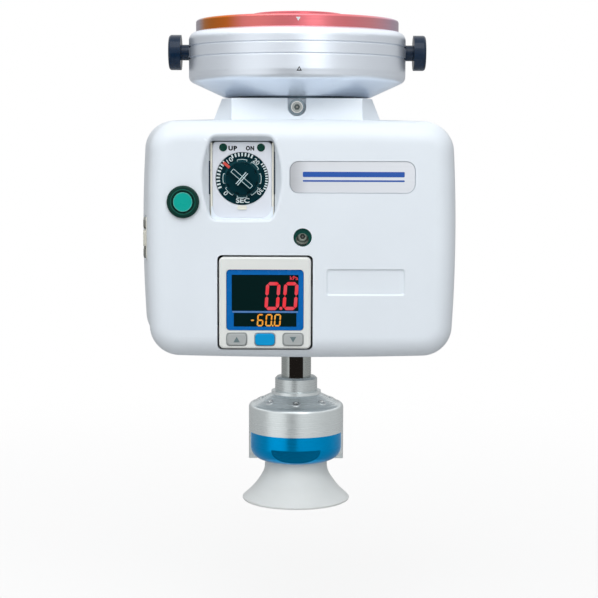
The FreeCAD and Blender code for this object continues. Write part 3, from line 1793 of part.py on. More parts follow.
def nodes():
    """Every piece of the gripper by its name."""
    left_key, mode_key, right_key = sensor_key_places()
    return {
        "robot_plate": robot_plate(),
        "lock_plug": lock_plug(),
        "plug_screws": plug_screws(),
        "changer_body": changer_body(),
        "changer_base": changer_base(),
        "release_button_left": release_button(-1),
        "release_button_right": release_button(1),
        "lock_slide_left": lock_slide(-1),
        "lock_slide_right": lock_slide(1),
        "slide_springs": slide_springs(),
        "hub": hub(),
        "hub_screws": hub_screws(),
        "front_cover": front_cover(),
        "rear_cover": rear_cover(),
        "cover_screws": cover_screws(),
        "name_plate": name_plate(),
        "chassis": chassis(),
        "manifold": manifold(),
        "port_nipples": port_nipples(),
        "valve_body": valve_body(),
        "valve_coil": valve_coil(),
        "pump_head": pump_head(),
        "pump_valve_plate": pump_valve_plate(),
        "pump_cylinder": pump_cylinder(),
        "pump_frame": pump_frame(),
        "pump_bolts": pump_bolts(),
        "pump_piston": pump_piston(),
        "piston_seal": piston_seal(),
        "pump_armature": pump_armature(),
        "pump_cores": pump_cores(),
        "pump_coils": pump_coils(),
        "pump_spring_lower": pump_spring_lower(),
        "pump_spring_upper": pump_spring_upper(),
        "timer_case": timer_case(),
        "timer_dial": timer_dial(),
        "timer_lamps": timer_lamps(),
        "timer_knob": timer_knob(),
        "timer_pointer": timer_pointer(),
        "timer_clips": timer_clips(),
        "timer_socket": timer_socket(),
        "sensor_case": sensor_case(),
        "sensor_bezel": sensor_bezel(),
        "sensor_window": sensor_window(),
        "sensor_key_up": sensor_key(left_key),
        "sensor_key_mode": sensor_key(mode_key),
        "sensor_key_down": sensor_key(right_key),
        "start_button_body": start_button_body(),
        "start_button_cap": start_button_cap(),
        "start_button_nut": start_button_nut(),
        "control_board": control_board(),
        "board_standoffs": board_standoffs(),
        "io_connector": io_connector(),
        "io_posts": io_posts(),
        "suction_rod": suction_rod(),
        "rod_locknut": rod_locknut(),
        "pad_holder": pad_holder(),
        "filter_disc": filter_disc(),
        "pad_ring": pad_ring(),
        "suction_cup": suction_cup(),
    }


os.makedirs("parts", exist_ok=True)
for name, shape in nodes().items():
    shape.exportStep("parts/" + name + ".step")
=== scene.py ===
# %% [markdown]
# # Dressing an electric vacuum gripper
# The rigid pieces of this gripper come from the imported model, at their real size and place. Blender adds what a solid
# model lacks: moulded and anodised finishes, printed scales, a lit display and a soft silicone cup. Z is up towards the
# robot, and the controls face -Y. Blender counts in metres, and so do camera, floor and lamps below; shapes and
# finishes are given in millimetres and become metres where they are handed over.

# %% Load the frame
import math
import bmesh
import bpy
import numpy as np
from mathutils import Matrix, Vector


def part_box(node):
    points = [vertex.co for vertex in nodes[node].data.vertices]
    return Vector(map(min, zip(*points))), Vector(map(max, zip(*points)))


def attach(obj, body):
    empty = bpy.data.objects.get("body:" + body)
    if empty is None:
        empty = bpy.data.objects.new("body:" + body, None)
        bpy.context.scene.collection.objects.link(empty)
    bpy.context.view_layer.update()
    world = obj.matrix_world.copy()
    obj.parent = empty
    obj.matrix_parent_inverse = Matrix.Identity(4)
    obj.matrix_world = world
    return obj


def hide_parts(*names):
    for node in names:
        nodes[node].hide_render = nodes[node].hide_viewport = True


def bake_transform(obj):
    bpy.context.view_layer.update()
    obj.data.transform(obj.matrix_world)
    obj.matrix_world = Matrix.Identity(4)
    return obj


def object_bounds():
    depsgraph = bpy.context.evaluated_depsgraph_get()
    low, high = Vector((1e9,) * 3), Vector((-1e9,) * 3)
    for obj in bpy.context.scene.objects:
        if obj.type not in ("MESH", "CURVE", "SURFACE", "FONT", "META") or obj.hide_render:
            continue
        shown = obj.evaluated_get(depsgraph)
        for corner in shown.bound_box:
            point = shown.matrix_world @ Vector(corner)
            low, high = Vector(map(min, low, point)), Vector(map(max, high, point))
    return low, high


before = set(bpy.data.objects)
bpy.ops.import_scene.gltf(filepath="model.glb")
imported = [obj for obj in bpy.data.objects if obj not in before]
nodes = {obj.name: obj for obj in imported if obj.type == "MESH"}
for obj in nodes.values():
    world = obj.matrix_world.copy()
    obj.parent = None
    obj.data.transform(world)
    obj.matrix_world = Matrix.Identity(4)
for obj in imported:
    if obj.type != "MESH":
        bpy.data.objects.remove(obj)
cad_box = [list(corner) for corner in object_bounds()]
scene = bpy.context.scene
MM = 0.001
print(len(nodes), "pieces loaded, model box", cad_box)


def box_of(name):
    """Lowest and highest corner of a model piece: the frame's metres divided by a millimetre."""
    return np.array(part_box(name)) / MM


# %% [markdown]
# ## Camera
# The picture was taken from the front at a bit over half a metre, from the height of the neck, with the camera
# tipped down by some six degrees. That is why the rims bow more and more towards the cup, while the edge of the
# red plate runs nearly straight. A lens shift could keep the verticals upright, but a shift also stays on in every
# other view, so the camera is simply tilted, and turned by the fifth of a degree that the picture leans.

# %% Camera
camera_place = (0.0009, -0.535, -0.0419)
camera_pitch, camera_roll = math.radians(5.84), math.radians(0.2)
picture_width, focal_pixels = 598, 1525
camera_data = bpy.data.cameras.new("photo_camera")
camera_data.sensor_width = 36.0
camera_data.lens = camera_data.sensor_width * focal_pixels / picture_width
camera = bpy.data.objects.new("photo_camera", camera_data)
camera.location = camera_place
tilt = Matrix.Rotation(math.pi / 2 - camera_pitch, 3, "X") @ Matrix.Rotation(camera_roll, 3, "Z")
camera.rotation_euler = tilt.to_euler()
scene.collection.objects.link(camera)
scene.camera = camera
scene.view_settings.view_transform = "Standard"
print("lens %.1f mm, pitch %.2f degrees" % (camera_data.lens, math.degrees(camera_pitch)))

# %% [markdown]
# ## Node helper
# Every finish below is a small graph of shader nodes. A Wire stands for what one node gives out, and a sum, a product
# or a ramp of wires adds the node that works it out, so that a graph reads like a formula. Values that are the same
# all over a surface are never wired: they are set on the shader's own sockets.


# %% Node helper
def node(tree, kind, inputs=None, **options):
    """A shader node with its options set; an input is a plain value or a wire from another node."""
    made = tree.nodes.new("ShaderNode" + kind)
    for name, value in options.items():
        setattr(made, name, value)
    for name, value in (inputs or {}).items():
        if isinstance(value, Wire):
            tree.links.new(value.socket, made.inputs[name])
        else:
            made.inputs[name].default_value = value
    return made


def wire(tree, kind, inputs=None, output=0, **options):
    """One output of a new node."""
    return Wire(tree, node(tree, kind, inputs, **options).outputs[output])


class Wire:
    """What a node gives out; working with it adds nodes to the same tree."""

    def __init__(self, tree, socket):
        self.tree, self.socket = tree, socket

    def step(self, operation, other=0.0):
        """One step of arithmetic with another number."""
        return wire(self.tree, "Math", {0: self, 1: other}, operation=operation)

    def __add__(self, other):
        return self.step("ADD", other)

    def __mul__(self, other):
        return self.step("MULTIPLY", other)

    def __abs__(self):
        return self.step("ABSOLUTE")

    def ramp(self, start, end, low=0.0, high=1.0):
        """Goes from low to high along a smooth S curve while the number goes from start to end."""
        ends = {"Value": self, "From Min": start, "From Max": end, "To Min": low, "To Max": high}
        return wire(self.tree, "MapRange", ends, interpolation_type="SMOOTHSTEP")

    def between(self, first, second):
        """A number: the first where this share is 0, the second where it is 1."""
        return wire(self.tree, "Mix", {0: self, 2: first, 3: second})

    def tint(self, first, second):
        """A colour: the first where this share is 0, the second where it is 1."""
        return wire(self.tree, "Mix", {0: self, 6: first, 7: second}, 2, data_type="RGBA")

    def parts(self):
        """The X, Y and Z of a place or direction."""
        return [Wire(self.tree, socket) for socket in node(self.tree, "SeparateXYZ", {0: self}).outputs]


# %% [markdown]
# ## Studio
# The object stands in front of pure white: the world is white for the camera, and for glass rays too. Bare white all
# round would leave turned metal flat. So the room that mirrors see has a white ceiling, is bright in front and at a
# soft spot to the left, and dimmer on both sides, as when a photographer hangs cloth beside shiny goods. One narrow
# strip below the camera is dark, where its stand is, and gives pad holder and blue ring their dark middle. Plastics
# are lit by a plain level of the world, weak from the sides and from below, and by soft boxes.

# %% World
level_above, level_below, side_share = 0.56, 0.36, 0.5
cloth_left, cloth_right = 0.50, 0.58
front_level, back_level, ceiling_level, spot_level = 0.72, 0.46, 1.2, 1.0
spot_direction = (-0.74, -0.65, -0.18)
stand_level, stand_side, stand_half, stand_soft = 0.12, -0.16, 0.14, 0.25
world = bpy.data.worlds.new("white_studio")
world.use_nodes = True
scene.world = world
room = world.node_tree
direction = wire(room, "TexCoord", output="Generated")
sideways, backwards, upwards = direction.parts()
frontwards = backwards * -1.0
to_spot = wire(room, "VectorMath", {0: direction, 1: spot_direction}, "Value", operation="DOT_PRODUCT")
mirrored = sideways.ramp(-0.3, 0.3, cloth_left, cloth_right)
for share, level in (
    (frontwards.ramp(0.0, 0.95), front_level),
    (backwards.ramp(0.2, 0.95), back_level),
    (upwards.ramp(0.15, 0.5), ceiling_level),
    (to_spot.ramp(0.86, 0.99), spot_level),
):
    mirrored = share.between(mirrored, level)
strip = abs(sideways + -stand_side).ramp(stand_half, stand_soft, 1.0, 0.0)
strip = strip * upwards.ramp(-0.16, -0.06, 1.0, 0.0) * frontwards.ramp(0.3, 0.6)
mirrored = strip.between(mirrored, stand_level)
sky = upwards.ramp(-0.5, 0.5, level_below, level_above) * abs(sideways).ramp(0.3, 0.95, 1.0, side_share)
camera_ray, glossy_ray, glass_ray = (
    wire(room, "LightPath", output="Is %s Ray" % kind) for kind in ("Camera", "Glossy", "Transmission")
)
strength = camera_ray.step("MAXIMUM", glass_ray).between(glossy_ray.between(sky, mirrored), 1.0)
backdrop = room.nodes["Background"]
backdrop.inputs["Color"].default_value = (1.0, 1.0, 1.0, 1.0)
room.links.new(strength.socket, backdrop.inputs["Strength"])
print("room: level %.2f from above, %.2f from below" % (level_above, level_below))

# %% [markdown]
# ## Finish helpers
# A finish starts as one Principled shader. Grain, mottling and fine relief are then worked out from the object's own
# coordinates in millimetres, so a noise scale of 2 makes marks about half a millimetre across.


# %% Finish helpers
def srgb(red, green, blue):
    """Screen colour from 0 to 255 as linear light, by undoing the display curve."""
    screen = np.array([red, green, blue]) / 255
    light = np.where(screen <= 0.04045, screen / 12.92, ((screen + 0.055) / 1.055) ** 2.4)
    return (*light.tolist(), 1.0)


def shade(colour, share):
    """The same colour with its light multiplied by a share."""
    return (*[share * part for part in colour[:3]], 1.0)


def finish(name, colour, roughness, metallic=0.0, sockets=None):
    """A material with one Principled shader; what is uniform sits on its sockets."""
    material = bpy.data.materials.new(name)
    material.use_nodes = True
    shader = material.node_tree.nodes["Principled BSDF"]
    values = {"Base Color": colour, "Roughness": roughness, "Metallic": metallic, **(sockets or {})}
    for socket, value in values.items():
        shader.inputs[socket].default_value = value
    return material


def feed(material, socket, value):
    """Wires a worked-out value to a socket of the finish's Principled shader."""
    tree = material.node_tree
    tree.links.new(value.socket, tree.nodes["Principled BSDF"].inputs[socket])


def place_of(material):
    """Where a point lies in the frame of the model: object coordinates times the millimetres of a metre."""
    tree = material.node_tree
    metres = wire(tree, "TexCoord", output="Object")
    return wire(tree, "VectorMath", {0: metres, "Scale": 1 / MM}, operation="SCALE")


def grain(material, scale, stretch=(1.0, 1.0, 1.0), detail=3.0):
    """Noise over the object's coordinates, drawn out along an axis by a small stretch on it."""
    tree = material.node_tree
    spread = wire(tree, "Mapping", {"Vector": place_of(material), "Scale": stretch})
    return wire(tree, "TexNoise", {"Vector": spread, "Scale": scale, "Detail": detail})


def mottle(material, share, first, second):
    """Lets the colour wander between two tones."""
    feed(material, "Base Color", share.tint(first, second))


def polish(material, share, low, high):
    """Lets the roughness wander between two values."""
    feed(material, "Roughness", share.ramp(0.3, 0.7, low, high))


def relief(material, height, depth, strength=1.0):
    """Bumps: the height times a depth, as a lean of the surface's normal."""
    bump = {"Height": height, "Distance": depth * MM, "Strength": strength}
    feed(material, "Normal", wire(material.node_tree, "Bump", bump))


# %% [markdown]
# ## Floor
# The floor is a disc of matt paper a little below the cup. It sends some light back up to the undersides and takes the
# object's shadow. For the camera most of it is see-through, so that the white behind it shows and only a breath
# of the shadow stays; it also fades out towards its rim, where a hard edge would show, and is open from below.
# For all other rays it is a greyer paper, because the undersides of the real object are clearly in shade.

# %% Floor
floor_drop, floor_radius, rim_count = 0.05, 2.4, 64
shadow_share, fade_start, fade_end = 0.22, 0.15, 0.6
grey_paper, white_paper = (0.5, 0.5, 0.5, 1.0), (0.95, 0.95, 0.95, 1.0)
turn = np.arange(rim_count) * 2 * np.pi / rim_count
floor_height = np.full(rim_count, cad_box[0][2] - floor_drop)
rim = np.column_stack((floor_radius * np.cos(turn), floor_radius * np.sin(turn), floor_height))
floor_mesh = bpy.data.meshes.new("floor")
floor_mesh.from_pydata(rim.tolist(), [], [list(range(rim_count))])
floor = bpy.data.objects.new("floor", floor_mesh)
scene.collection.objects.link(floor)
floor_paper = finish("floor_paper", grey_paper, 1.0, 0.0, {"Specular IOR Level": 0.0})
floor_mesh.materials.append(floor_paper)
paper = floor_paper.node_tree
camera_ray = wire(paper, "LightPath", output="Is Camera Ray")
mottle(floor_paper, camera_ray, grey_paper, white_paper)
away = wire(paper, "VectorMath", {0: wire(paper, "TexCoord", output="Object")}, "Value", operation="LENGTH")
fade = away.ramp(fade_start, fade_end).between(camera_ray * (1.0 - shadow_share), 1.0)
clear_share = fade.step("MAXIMUM", wire(paper, "NewGeometry", output="Backfacing"))
sheet = Wire(paper, paper.nodes["Principled BSDF"].outputs[0])
see_through = node(paper, "MixShader", {0: clear_share, 1: sheet, 2: wire(paper, "BsdfTransparent")})
paper.links.new(see_through.outputs[0], paper.nodes["Material Output"].inputs["Surface"])
print("floor %.0f mm below the cup" % (floor_drop / MM))

# %% [markdown]
# ## Lamps
# A soft box is a lamp behind a wide white cloth: its shadows have broad, soft edges. The main ones hang above and in
# front. Three of them would show as hard white patches in the metal, so mirrors are told not to see those.

# %% Lamps
lamp_colour, lamp_aim = (0.96, 0.985, 1.0), (0.0, 0.0, -0.07)
for name, place, width, height, power, mirrored in (
    ("box_above", (-0.08, -0.34, 0.42), 0.80, 0.40, 1.7, True),
    ("box_front", (0.00, -0.68, 0.42), 0.90, 0.50, 2.1, False),
    ("box_front_right", (0.36, -1.10, 0.12), 0.45, 0.45, 0.75, True),
    ("box_low_left", (-0.80, -0.70, -0.34), 0.78, 0.45, 0.85, False),
    ("box_behind", (0.30, 0.90, 0.45), 0.60, 0.60, 2.2, False),
):
    lamp = bpy.data.lights.new(name, "AREA")
    lamp.shape = "RECTANGLE"
    lamp.size, lamp.size_y = width, height
    lamp.energy, lamp.color = power, lamp_colour
    stand = bpy.data.objects.new(name, lamp)
    stand.location = place
    away = np.array(place) - lamp_aim
    stand.rotation_euler = (math.acos(away[2] / np.linalg.norm(away)), 0.0, math.atan2(away[0], -away[1]))
    stand.visible_glossy = mirrored
    scene.collection.objects.link(stand)
    print(name, "gives", power, "watts")

# %% [markdown]
# ## Plastics
# The two covers are satin white ABS with a breath of blue. The timer and sensor fronts are their own paler and
# warmer greys. Each one is the same recipe with another tone, because they all come out of a steel mould.
# Lenses and button caps get a clear coat on top, which gives them a second, sharper gloss.


# %% Plastics
def moulded(name, screen_colour, roughness, sockets=None, skin=0.02):
    """Moulded plastic: two close tones, a fine spark-eroded skin and a slightly uneven gloss."""
    colour = srgb(*screen_colour)
    material = finish(name, colour, roughness, 0.0, sockets)
    mottle(material, grain(material, 0.06), colour, shade(colour, 0.95))
    polish(material, grain(material, 0.3), roughness - 0.05, roughness + 0.05)
    relief(material, grain(material, 2.6, detail=2.0), skin, 0.25)


dull, deep = {"Specular IOR Level": 0.14}, {"Specular IOR Level": 0.06}
lens = {"Specular IOR Level": 0.12, "Coat Weight": 0.1, "Coat Roughness": 0.08}
glossy = {"Specular IOR Level": 0.12, "Coat Weight": 0.3, "Coat Roughness": 0.05}
plastics = (
    ("cover_white", (236, 243, 250), 0.38),
    ("timer_grey", (226, 230, 238), 0.42),
    ("sensor_white", (233, 235, 232), 0.4),
    ("connector_ivory", (226, 224, 212), 0.45),
    ("tab_cream", (236, 234, 222), 0.45),
    ("pale_edge", (196, 220, 224), 0.3),
    ("grey_key", (176, 180, 180), 0.45),
    ("well_grey", (160, 166, 166), 0.5),
    ("blue_key", (6, 154, 216), 0.4, dull),
    ("divider_blue", (84, 128, 186), 0.3),
    ("display_blue", (2, 104, 184), 0.25, dull, 0.002),
    ("panel_dark", (0, 28, 28), 0.2, deep, 0.001),
    ("dial_dark", (0, 42, 50), 0.34, deep),
    ("dial_gloss", (8, 62, 70), 0.2, lens),
    ("pointer_enamel", (214, 84, 76), 0.45, dull),
    ("lamp_lens", (2, 62, 50), 0.2, lens),
    ("button_black", (8, 34, 58), 0.3, glossy),
    ("button_ring", (0, 50, 42), 0.22, lens),
    ("bezel_edge", (16, 92, 78), 0.2, lens),
    ("button_lens", (4, 170, 156), 0.28, lens),
    ("cap_edge", (84, 182, 168), 0.25),
    ("well_green", (6, 74, 66), 0.4, dull),
    ("seal_rubber", (30, 30, 30), 0.6),
    ("solder_mask", (24, 110, 58), 0.35),
    ("filter_felt", (226, 224, 218), 0.9, None, 0.1),
)
for recipe in plastics:
    moulded(*recipe)
print(len(plastics), "plastics")

# %% [markdown]
# ## Metals
# The changer is turned aluminium. A lathe leaves rings finer than a hair, so its tone and gloss depend only on
# radius and height. Steel, copper and iron are the same recipe with other colours. Two grooves run round the changer
# and a bevel ends its wall: a relief over the height leans their flanks, so that the upper flank of each groove turns
# to the dim room below and the lower one to the bright ceiling, and the upper half of each groove is painted darker
# as painted shade. The pad holder's cone is blasted and its collar is painted darker as painted shade, and the blue
# ring's milled flat in front is painted darker as a painted dark reflection: height or depth alone tells these places
# apart.


# %% Turned metal
def lathe_place(material):
    """A point's radius about the Z axis, the length of (x, y), and its height z."""
    tree = material.node_tree
    across, inward, height = place_of(material).parts()
    flat = wire(tree, "CombineXYZ", {0: across, 1: inward})
    return wire(tree, "VectorMath", {0: flat}, "Value", operation="LENGTH"), height


def turning(material, pitch):
    """Noise that depends only on radius and height, as the rings a lathe tool leaves."""
    radius, height = lathe_place(material)
    rings = wire(material.node_tree, "CombineXYZ", {0: radius, 1: height})
    return wire(material.node_tree, "TexNoise", {"Vector": rings, "Scale": 1 / pitch, "Detail": 4.0})


def overlay(material, share, colour):
    """Lays another colour over the tones that the finish has so far."""
    tree = material.node_tree
    below = tree.nodes["Principled BSDF"].inputs["Base Color"].links[0].from_socket
    mottle(material, share, Wire(tree, below), colour)


def machined(name, colour, roughness, pitch, depth, variation=0.9):
    """Metal turned about the Z axis: tone, gloss and relief follow the tool's rings."""
    material = finish(name, colour, roughness, 1.0)
    rings = turning(material, pitch)
    mottle(material, rings, colour, shade(colour, variation))
    polish(material, rings, roughness - 0.04, roughness + 0.04)
    relief(material, rings, depth, 0.4)
    return material


# %% Metals
def grooved_aluminium():
    """Turned aluminium; its relief along the radius adds a shallow V in each groove and a bevel above the seam."""
    bright, metallic, ring_pitch, ring_depth = (0.84, 0.90, 0.98, 1), 0.85, 0.25, 0.0008
    groove, spacing, flank_slope = -8.8, 3.9, 0.2
    bevel_foot, bevel_top, bevel_depth = -19.4, -17.6, 0.2
    material = finish("changer_metal", bright, 0.36, metallic)
    rings = turning(material, ring_pitch)
    mottle(material, rings, bright, shade(bright, 0.94))
    polish(material, rings, 0.32, 0.4)
    radius, height = lathe_place(material)
    outer = -box_of("changer_body")[0, 1]
    sunk = radius.ramp(outer - 0.45, outer - 0.12, 1.0, 0.0)
    sunk = sunk * height.ramp(-14.5, -14.0) * height.ramp(-8.4, -8.0, 1.0, 0.0)
    ends = {0: height, 1: groove + spacing / 2, 2: groove - spacing / 2}
    from_groove = wire(material.node_tree, "Math", ends, operation="WRAP") + -groove
    bevel = height.ramp(bevel_foot, bevel_top, -bevel_depth, 0.0)
    relief(material, abs(from_groove) * flank_slope * sunk + bevel + rings * ring_depth, 1.0)
    # Painted shade: the upper half of each groove is painted darker.
    overlay(material, sunk * from_groove.ramp(-0.05, 0.15), shade(bright, 0.6))


def collared_aluminium():
    """Turned aluminium, painted darker above the collar's foot as painted shade, and dull on the blasted cone."""
    bright, collar_foot, cone_foot, cone_top, blasted = (0.82, 0.88, 0.89, 1), -129.2, -133.6, -129.6, 0.38
    material = machined("holder_metal", bright, 0.30, 0.3, 0.002, 0.94)
    height = lathe_place(material)[1]
    cone = height.ramp(cone_foot, cone_foot + 0.8) * height.ramp(cone_top - 0.6, cone_top, 1.0, 0.0)
    feed(material, "Metallic", cone * -blasted + 1.0)
    # Painted shade: the collar above its foot is painted darker.
    overlay(material, height.ramp(collar_foot, collar_foot + 0.6), shade(bright, 0.76))


def milled_blue():
    """Blue dye on turned aluminium; painted reflection darkens the plane at the depth of the milled front flat."""
    blue, flat_depth, flat_top = srgb(0, 160, 228), -14.1, -148.0
    material = machined("ring_blue", blue, 0.22, 0.4, 0.0008)
    _, depth, height = place_of(material).parts()
    # Painted reflection: the milled flat is painted darker, as if it mirrored a dark room.
    milled = abs(depth + -flat_depth).ramp(0.02, 0.06, 1.0, 0.0) * height.ramp(flat_top, flat_top + 0.1, 1.0, 0.0)
    overlay(material, milled, shade(blue, 0.55))


grooved_aluminium()
collared_aluminium()
milled_blue()
plain_metals = (
    ("bright_steel", (0.46, 0.49, 0.48, 1), 0.30, 0.4, 0.003),
    ("pale_steel", (0.86, 0.88, 0.88, 1), 0.25, 0.4, 0.003),
    ("hub_black", srgb(100, 116, 126), 0.4, 0.4, 0.004),
    ("winding", (0.72, 0.36, 0.20, 1), 0.35, 0.3, 0.05),
    ("core_iron", (0.28, 0.28, 0.29, 1), 0.5, 0.5, 0.03),
    ("zinc_sheet", (0.55, 0.56, 0.58, 1), 0.4, 6.0, 0.002),
    ("zinc_blue", srgb(150, 166, 176), 0.35, 0.3, 0.002),
    ("post_metal", srgb(150, 152, 148), 0.35, 0.3, 0.002),
    ("screw_metal", srgb(188, 196, 186), 0.35, 0.3, 0.002),
)
for recipe in plain_metals:
    machined(*recipe)
print("metals: changer, pad holder, blue ring and", len(plain_metals), "plain ones")

# %% [markdown]
# ## Red dye
# The robot plate is aluminium dyed red. Dyed oxide shifts its hue with the grain of the metal: this plate runs to
# orange on its left shoulder. Towards both ends of the rim the colour turns to a greyer mauve, which is painted
# reflection, and just right of the front it grows paler, which is a painted highlight. A colour ramp over the angle
# about the axis lays those hues on the metal of the rim itself, so they stay with the plate from every side; its top
# face is plain red.

# %% Red dye
top_red, black = srgb(226, 116, 126), (0.0, 0.0, 0.0, 1.0)
# Painted reflection and highlight: the greyer mauve near both sides and the paler pink right of the front.
hue_and_sheen_stops = (
    (0.000, 222, 110, 116),
    (0.230, 196, 190, 206),
    (0.300, 192, 182, 192),
    (0.326, 206, 126, 56),
    (0.345, 208, 116, 30),
    (0.385, 222, 118, 48),
    (0.414, 228, 126, 120),
    (0.500, 228, 122, 130),
    (0.575, 232, 130, 136),
    (0.620, 232, 150, 156),
    (0.685, 206, 176, 196),
    (0.760, 200, 192, 208),
    (1.000, 222, 110, 116),
)
red_dye = machined("red_dye", srgb(206, 98, 104), 0.34, 0.4, 0.002)
tree = red_dye.node_tree
across, inward, _ = place_of(red_dye).parts()
angle = across.step("ARCTAN2", inward * -1.0)
turn_share = wire(tree, "MapRange", {"Value": angle, "From Min": -math.pi, "From Max": math.pi})
hues = node(tree, "ValToRGB", {0: turn_share})
stops = hues.color_ramp.elements
stops.remove(stops[1])
stops[0].color = srgb(*hue_and_sheen_stops[0][1:])
for position, *screen_colour in hue_and_sheen_stops[1:]:
    stops.new(position).color = srgb(*screen_colour)
edge = -box_of("robot_plate")[0, 1]
on_rim = lathe_place(red_dye)[0].ramp(edge - 1.4, edge - 0.5)
mottle(red_dye, on_rim, top_red, Wire(tree, hues.outputs[0]))
overlay(red_dye, turning(red_dye, 0.4).ramp(0.0, 1.0, 0.0, 0.12), black)
print("red dye with", len(hue_and_sheen_stops), "hues round the rim")

# %% [markdown]
# ## Foil plate and rod
# The plate on the face is rolled aluminium foil with long scratches along X; towards its left end it is painted
# darker, as painted shade. The suction rod is bright steel, and its two wrench flats are painted dark, as a painted
# dark reflection: they are the only places of the visible rod that lie further than a set depth in front of or behind
# its axis, so that depth alone tells them apart.

# %% Foil plate and rod
silver = (0.84, 0.87, 0.92, 1)
brushed = finish("brushed_plate", silver, 0.42, 1.0)
scratches = grain(brushed, 0.9, (0.02, 1.0, 1.0), 5.0)
left_end = box_of("name_plate")[0, 0]
# Painted shade: the foil grows darker towards its left end.
left_end_painted_shade = place_of(brushed).parts()[0].ramp(left_end - 1.0, left_end + 7.0, 0.6, 0.0)
mottle(brushed, scratches, silver, shade(silver, 0.92))
overlay(brushed, left_end_painted_shade, shade(silver, 0.4))
polish(brushed, scratches, 0.36, 0.48)
relief(brushed, scratches, 0.004, 0.3)
rod_bright, flat_painted_reflection, flat_depth = (0.42, 0.45, 0.44, 1), srgb(40, 36, 33), 4.62
rod_steel = machined("rod_steel", rod_bright, 0.26, 0.3, 0.002)
# Painted reflection: the wrench flats are painted dark.
mottle(rod_steel, abs(place_of(rod_steel).parts()[1]).ramp(flat_depth, flat_depth + 0.07), rod_bright, flat_painted_reflection)
print("foil darker from x = %.1f mm, rod darker past %.2f mm" % (left_end, flat_depth))

# %% [markdown]
# ## Silicone
# The cup's silicone is milky: light goes in, scatters over some millimetres and comes out again. Subsurface scattering
# gives that soft look without glass; a slight mottling and a matt, faintly dusty skin keep it from looking like wax.

# %% Silicone
milk, scatter_depth = srgb(236, 239, 237), 2.5
scatter = {"Subsurface Weight": 0.6, "Subsurface Scale": scatter_depth * MM, "Subsurface Radius": (1.0, 1.0, 1.0)}
silicone = finish("milky_silicone", milk, 0.5, 0.0, {**scatter, "Specular IOR Level": 0.3})
mottle(silicone, grain(silicone, 0.12), milk, shade(milk, 0.94))
polish(silicone, grain(silicone, 0.5), 0.42, 0.58)
relief(silicone, grain(silicone, 1.5), 0.01, 0.2)
print("silicone that scatters over %.1f mm" % scatter_depth)

# %% [markdown]
# ## Dressing the model's pieces
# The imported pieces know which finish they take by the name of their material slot. A table from slot to finish dresses
# all of them at once. Three pieces share a slot with others but look different, and are dressed again after that.

# %% Dress by slot
dress = {
    "red_anodised": "red_dye", "turned_aluminium": "changer_metal", "blue_anodised": "ring_blue",
    "steel": "bright_steel", "sheet_steel": "zinc_sheet", "iron": "core_iron", "copper": "winding",
    "dark_hub": "hub_black", "plate": "brushed_plate", "white_plastic": "cover_white", "grey_plastic": "timer_grey",
    "off_white": "sensor_white", "beige": "connector_ivory", "black_plastic": "button_black",
    "dial_black": "dial_dark", "lamp_green": "lamp_lens", "pointer_red": "pointer_enamel",
    "display": "display_blue", "key_grey": "grey_key", "key_blue": "blue_key", "button_green": "button_lens",
    "button_bezel": "button_ring", "board_green": "solder_mask", "seal": "seal_rubber",
    "silicone": "milky_silicone", "filter": "filter_felt",
}
for part in nodes.values():
    holder = part.material_slots[0]
    holder.material = bpy.data.materials[dress[holder.material.name]]
for name, coat in (("suction_rod", "rod_steel"), ("pad_holder", "holder_metal"), ("io_posts", "post_metal")):
    nodes[name].material_slots[0].material = bpy.data.materials[coat]
print("dressed", len(nodes), "pieces with", len(dress), "finishes")

# %% [markdown]
# ## Thin plates
# Prints, marks and lit bars are thin plates. Each is an outline in the plane of the front, listed counter-clockwise
# as the viewer sees it, set once at its front depth and once at its back depth. The back depth lies a hair inside the
# surface that carries the plate, so that no plate floats and none shares a face with its carrier.


# %% Thin plates and pieces
def grid_faces(rows, columns, close_rows=True, close_columns=True):
    """Faces between neighbours in a grid of points counted row by row; either way round may close on its start."""
    index = np.arange(rows * columns).reshape(rows, columns)
    below, beside = np.roll(index, -1, axis=0), np.roll(index, -1, axis=1)
    faces = np.stack((index, below, np.roll(below, -1, axis=1), beside), axis=-1)
    return faces[: rows - 1 + close_rows, : columns - 1 + close_columns].reshape(-1, 4)


def slabs(outlines, front, back):
    """Plates of one corner count: every outline (x, z) repeated at two depths, two caps and a wall round them."""
    outlines = np.asarray(outlines, float)
    count, corners = outlines.shape[:2]
    points = np.empty((count, 2, corners, 3))
    points[..., [0, 2]] = outlines[:, None]
    points[..., 1] = np.array([front, back])[:, None]
    starts = np.arange(count)[:, None, None] * 2 * corners
    around = np.arange(corners)
    caps = starts + np.stack((around, corners + around[::-1]))
    walls = starts + grid_faces(2, corners, close_rows=False)
    return points.reshape(-1, 3), caps.reshape(-1, corners).tolist() + walls.reshape(-1, 4).tolist()


def joined(*shapes):
    """One shape from several: the points in a row, each face's numbers raised by the points before it."""
    raises = np.cumsum([0] + [len(points) for points, _ in shapes])
    faces = [[corner + up for corner in face] for up, (_, own) in zip(raises, shapes) for face in own]
    return np.concatenate([points for points, _ in shapes]), faces


def piece(name, shape, coat, body="gripper", sharp=30):
    """A mesh object from a shape, smooth up to an angle, that rides on a body, or on none yet if that is None."""
    points, faces = shape
    mesh = bpy.data.meshes.new(name)
    mesh.from_pydata((points * MM).tolist(), [], faces)
    mesh.materials.append(bpy.data.materials[coat])
    mesh.polygons.foreach_set("use_smooth", np.ones(len(faces), bool))
    mesh.set_sharp_from_angle(angle=math.radians(sharp))
    made = bpy.data.objects.new(name, mesh)
    scene.collection.objects.link(made)
    if body:
        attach(made, body)
    print("%s: %d faces on %s" % (name, len(faces), body))
    return made


def front_of(name):
    """Middle (x, z) of a model piece's front, half way across its box, and the front's depth, its lowest Y."""
    low, high = box_of(name)
    return (low + high)[[0, 2]] / 2, low[1]


# %% [markdown]
# ## Letters
# Blender's own font is drawn as a filled curve with a thickness, turned into a mesh and welded. It lies on its back
# then, so it is stood up to face the front, and its box is scaled to the width and height that the print has.


